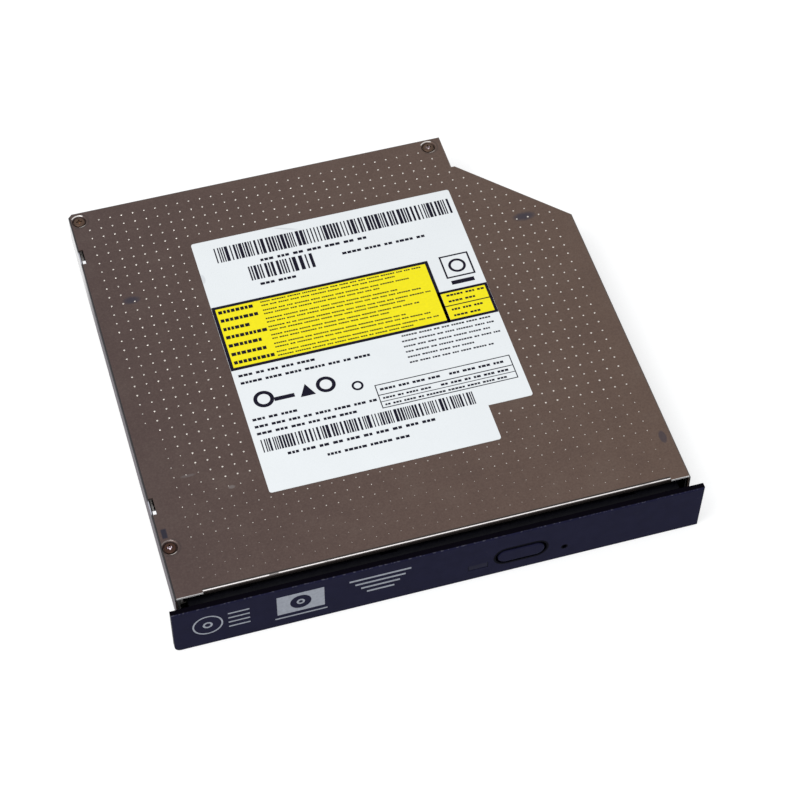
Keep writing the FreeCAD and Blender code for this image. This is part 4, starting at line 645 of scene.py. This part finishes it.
SMALL_WORDS_PITCH = 1.75
SIGN_RINGS = ((-29.5, 51.6, 2.6), (-13.5, 51.8, 2.5), (-6.0, 49.2, 1.5))
SIGN_RING_INNER = 0.62
SIGN_TRIANGLE = ((-20.5, 49.6), (-16.6, 49.6), (-18.55, 53.4))
SIGN_BAR = (-27.0, -21.8, 50.2, 51.4)
TABLE = (-2.0, 33.3, 40.5, 48.1)
TABLE_RULE = 0.25
TABLE_ROWS = ((44.6, 44.85), (42.5, 42.7))
TABLE_WORDS = ((-1.0, 14.0, 46.4, 1.4, 4.0), (17.0, 32.6, 46.4, 1.4, 3.0), (-1.0, 11.0, 43.6, 1.1, 4.0),
               (14.0, 31.0, 43.6, 1.3, 3.0), (-1.0, 30.0, 41.5, 1.1, 6.0))

# The print on the yellow: black rules round the two fields with their width, then the rows of the
# large field (a heading's length and its line, with two lines beside it) and of the small one.
FIELD_RULES = ((-35.15, 22.45, 62.35, 83.85, 0.85), (21.6, 35.05, 62.35, 72.65, 0.75))
HEADINGS = ((9.0, 81.7), (9.6, 78.9), (6.4, 76.0), (9.4, 73.2), (9.8, 70.4), (10.6, 67.5), (9.6, 64.7))
HEADING_LEFT = -33.8
LINES_LEFT = -22.6
SIDE_WORDS = ((71.0, 33.5), (69.0, 32.0), (66.2, 33.0), (64.2, 31.5))


def print_on_white(rng):
    low = Ink(LABEL_Z)
    for x0, x1, y0, y1, thin, heavy in BARS:
        low.bars(x0, x1, y0, y1, thin, rng, heavy)
    for x0, x1, y, height, longest in CODE_WORDS:
        low.words(x0, x1, y, height, rng, longest)
    for y, x1 in MAKER_WORDS:
        low.words(-33.8, x1, y, 1.5, rng, 4.5)
    for x, y, r in SIGN_RINGS:
        low.ring(x, y, r, r * SIGN_RING_INNER)
    low.polygon(SIGN_TRIANGLE)
    low.rect(*SIGN_BAR)
    for i, (x0, x1) in enumerate(SMALL_WORDS):
        low.words(x0, x1, SMALL_WORDS_REAR - SMALL_WORDS_PITCH * i, 0.95, rng, 6.0)
    low.outline(*TABLE, TABLE_RULE)
    for y0, y1 in TABLE_ROWS:
        low.rect(*TABLE[:2], y0, y1)
    for x0, x1, y, height, longest in TABLE_WORDS:
        low.words(x0, x1, y, height, rng, longest)
    low.outline(25.6, 33.4, 76.5, 84.2, 0.45)
    low.ring(29.5, 80.3, 2.3, 1.6)
    low.rect(26.4, 32.5, 74.2, 75.5)
    return low


def print_on_yellow(rng):
    high = Ink(FIELD_Z)
    for i, (length, y) in enumerate(HEADINGS):
        high.words(HEADING_LEFT, HEADING_LEFT + length, y, 1.7, rng, 20.0, 0.62)
        high.words(LINES_LEFT, 20.0 - 4.0 * (i % 3), y + 0.6, 0.8, rng, 7.0)
        high.words(LINES_LEFT, 18.0 - 5.0 * ((i + 1) % 3), y - 0.6, 0.8, rng, 7.0)
    for y, x1 in SIDE_WORDS:
        high.words(23.8, x1, y, 1.2, rng, 4.5)
    high.rect(22.4, 34.7, 67.45, 67.75)
    return high


def make_label_print(materials):
    """Generic rows, bars and signs in place of all that is printed on the label."""
    rng = random.Random(11)
    print_on_white(rng).build("label_print_on_white", materials)
    rules = Ink(LABEL_Z, FIELD_Z - LABEL_Z + PRINT_THICK)
    for x0, x1, y0, y1, width in FIELD_RULES:
        rules.outline(x0, x1, y0, y1, width)
    rules.build("label_rules", materials)
    piece = print_on_yellow(rng).build("label_print_on_yellow", materials)
    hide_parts("label_print")


# The lattice of dots as read from the photo: its first dot, pitch and skew along X and Y, and each
# dot's radius and height
DOT_START = (1.12, 0.97)
DOT_PITCH = (3.0213, 3.0198)
DOT_SKEW = (-0.0016, -0.0097)
DOT_R = 0.25
DOT_HEIGHT = 0.055
DOT_SHOULDER_R = 0.7
DOT_SHOULDER = 0.04
DOT_SUNK = 0.01
DOT_STEPS = 8
DOT_COLUMNS = range(-20, 21)
DOT_ROWS = range(1, 42)


def on_cover(x, y):
    """True where the lattice of raised dots runs, clear of the cover's edges, label and screws."""
    if not (-61.0 < x < 61.2 and 3.6 < y < 124.6):
        return False
    if x > 37.0 and y > 113.0 - (x - 39.4) * 1.0285:
        return False
    if -36.0 < x < 36.0 and 22.6 < y < 107.3 and not (x > 24.2 and y < 33.4):
        return False
    return all(math.dist((x, y), place) > 3.0 for place in SCREW_PLACES)


def dot_size(x, y):
    """The dots are smaller toward the front, and sooner so at the left."""
    if y < 14.0 or (-8.0 < x < 13.0 and y < 22.0):
        return 0.4
    if y < 30.0 or y < 44.0 - 2.2 * (x + 54.0):
        return 0.65
    return 1.0


def make_cover_dots(material):
    rng = random.Random(5)
    verts, faces = [], []
    for i in DOT_COLUMNS:
        for j in DOT_ROWS:
            x = DOT_START[0] + DOT_PITCH[0] * i + DOT_SKEW[0] * j
            y = DOT_START[1] + DOT_PITCH[1] * j + DOT_SKEW[1] * i
            if not on_cover(x, y) or (i == DOT_COLUMNS[0] and y < 50.0):
                continue
            size = dot_size(x, y)
            radius = DOT_R * size * rng.uniform(0.9, 1.08)
            start = len(verts)
            for share, height in ((1.0, -DOT_SUNK), (DOT_SHOULDER_R, DOT_SHOULDER * size)):
                for k in range(DOT_STEPS):
                    angle = 2 * math.pi * k / DOT_STEPS
                    verts.append((x + radius * share * math.cos(angle), y + radius * share * math.sin(angle),
                                  COVER_Z + height))
            verts.append((x, y, COVER_Z + DOT_HEIGHT * size))
            for k in range(DOT_STEPS):
                n = (k + 1) % DOT_STEPS
                faces.append([start + k, start + n, start + DOT_STEPS + n, start + DOT_STEPS + k])
                faces.append([start + DOT_STEPS + k, start + DOT_STEPS + n, start + 2 * DOT_STEPS])
            faces.append([start + k for k in reversed(range(DOT_STEPS))])
    new_piece("cover_dots", verts, faces, material)


# Light, floor and camera

WORLD_LIGHT = 0.62
FLOOR_GLOW = 0.62
FLOOR_REACH = 3.0
FLOOR_DROP = 0.00002
LAMPS_AIM = (0.0, 0.05, 0.0)
CAMERA_PLACE = (-0.100332, -0.309224, 0.481947)
CAMERA_TURN = (37.9553, -0.0666, -16.2934)
CAMERA_LENS = 108.003
CAMERA_SENSOR = 36.0


def rays(tree, *kinds):
    """1 for a ray of any of these kinds, so that the ground shows white to it."""
    path = tree.nodes.new("ShaderNodeLightPath")
    result = path.outputs[kinds[0]]
    for kind in kinds[1:]:
        either = tree.nodes.new("ShaderNodeMath")
        either.operation = "MAXIMUM"
        tree.links.new(result, either.inputs[0])
        tree.links.new(path.outputs[kind], either.inputs[1])
        result = either.outputs[0]
    return result


def background(tree, color, strength):
    made = tree.nodes.new("ShaderNodeBackground")
    made.inputs["Color"].default_value = color
    made.inputs["Strength"].default_value = strength
    return made.outputs[0]


def make_world():
    world = bpy.data.worlds.new("studio")
    scene.world = world
    world.use_nodes = True
    tree = world.node_tree
    tree.nodes.clear()
    mix = tree.nodes.new("ShaderNodeMixShader")
    tree.links.new(rays(tree, "Is Camera Ray", "Is Glossy Ray", "Is Transmission Ray"), mix.inputs["Fac"])
    tree.links.new(background(tree, (0.96, 0.98, 1.0, 1.0), WORLD_LIGHT), mix.inputs[1])
    tree.links.new(background(tree, (1.0, 1.0, 1.0, 1.0), 1.0), mix.inputs[2])
    out = tree.nodes.new("ShaderNodeOutputWorld")
    tree.links.new(mix.outputs[0], out.inputs["Surface"])


def make_floor():
    mesh = bpy.data.meshes.new("floor")
    reach, z = FLOOR_REACH, cad_bounds[0][2] - FLOOR_DROP
    corners = [(-reach, -reach, z), (reach, -reach, z), (reach, reach, z), (-reach, reach, z)]
    mesh.from_pydata(corners, [], [(0, 1, 2, 3)])
    floor = bpy.data.objects.new("floor", mesh)
    scene.collection.objects.link(floor)
    material = bpy.data.materials.new("floor")
    material.use_nodes = True
    tree = material.node_tree
    shader = tree.nodes["Principled BSDF"]
    shader.inputs["Base Color"].default_value = (0.5, 0.5, 0.5, 1.0)
    shader.inputs["Roughness"].default_value = 0.9
    shader.inputs["Emission Color"].default_value = (1.0, 1.0, 1.0, 1.0)
    glow = tree.nodes.new("ShaderNodeMath")
    glow.operation = "MULTIPLY"
    glow.inputs[1].default_value = FLOOR_GLOW
    tree.links.new(rays(tree, "Is Camera Ray", "Is Glossy Ray"), glow.inputs[0])
    tree.links.new(glow.outputs[0], shader.inputs["Emission Strength"])
    mesh.materials.append(material)


def area_lamp(name, place, size, power):
    data = bpy.data.lights.new(name, "AREA")
    data.shape = "DISK"
    data.size = size
    data.energy = power
    lamp = bpy.data.objects.new(name, data)
    scene.collection.objects.link(lamp)
    lamp.location = place
    lamp.rotation_euler = (Vector(LAMPS_AIM) - Vector(place)).to_track_quat("-Z", "Y").to_euler()


def make_lights():
    area_lamp("key", (-0.45, -0.15, 0.85), 0.5, 4.0)
    area_lamp("front", (-0.1, -0.9, 0.3), 0.35, 2.0)


def make_camera():
    """The camera as solved from the photo."""
    data = bpy.data.cameras.new("camera")
    data.lens = CAMERA_LENS
    data.sensor_width = CAMERA_SENSOR
    camera = bpy.data.objects.new("camera", data)
    scene.collection.objects.link(camera)
    camera.location = CAMERA_PLACE
    camera.rotation_euler = Euler([math.radians(a) for a in CAMERA_TURN])
    scene.camera = camera


def main():
    scene.view_settings.view_transform = "Standard"
    materials = make_materials()
    dress_nodes(materials)
    make_label_print(materials)
    # The dots' steel is paler than the cover: a painted highlight
    make_cover_dots(metal("dot_highlight_steel", (0.62, 0.58, 0.54), 0.3).material)
    make_world()
    make_floor()
    make_lights()
    make_camera()


main()
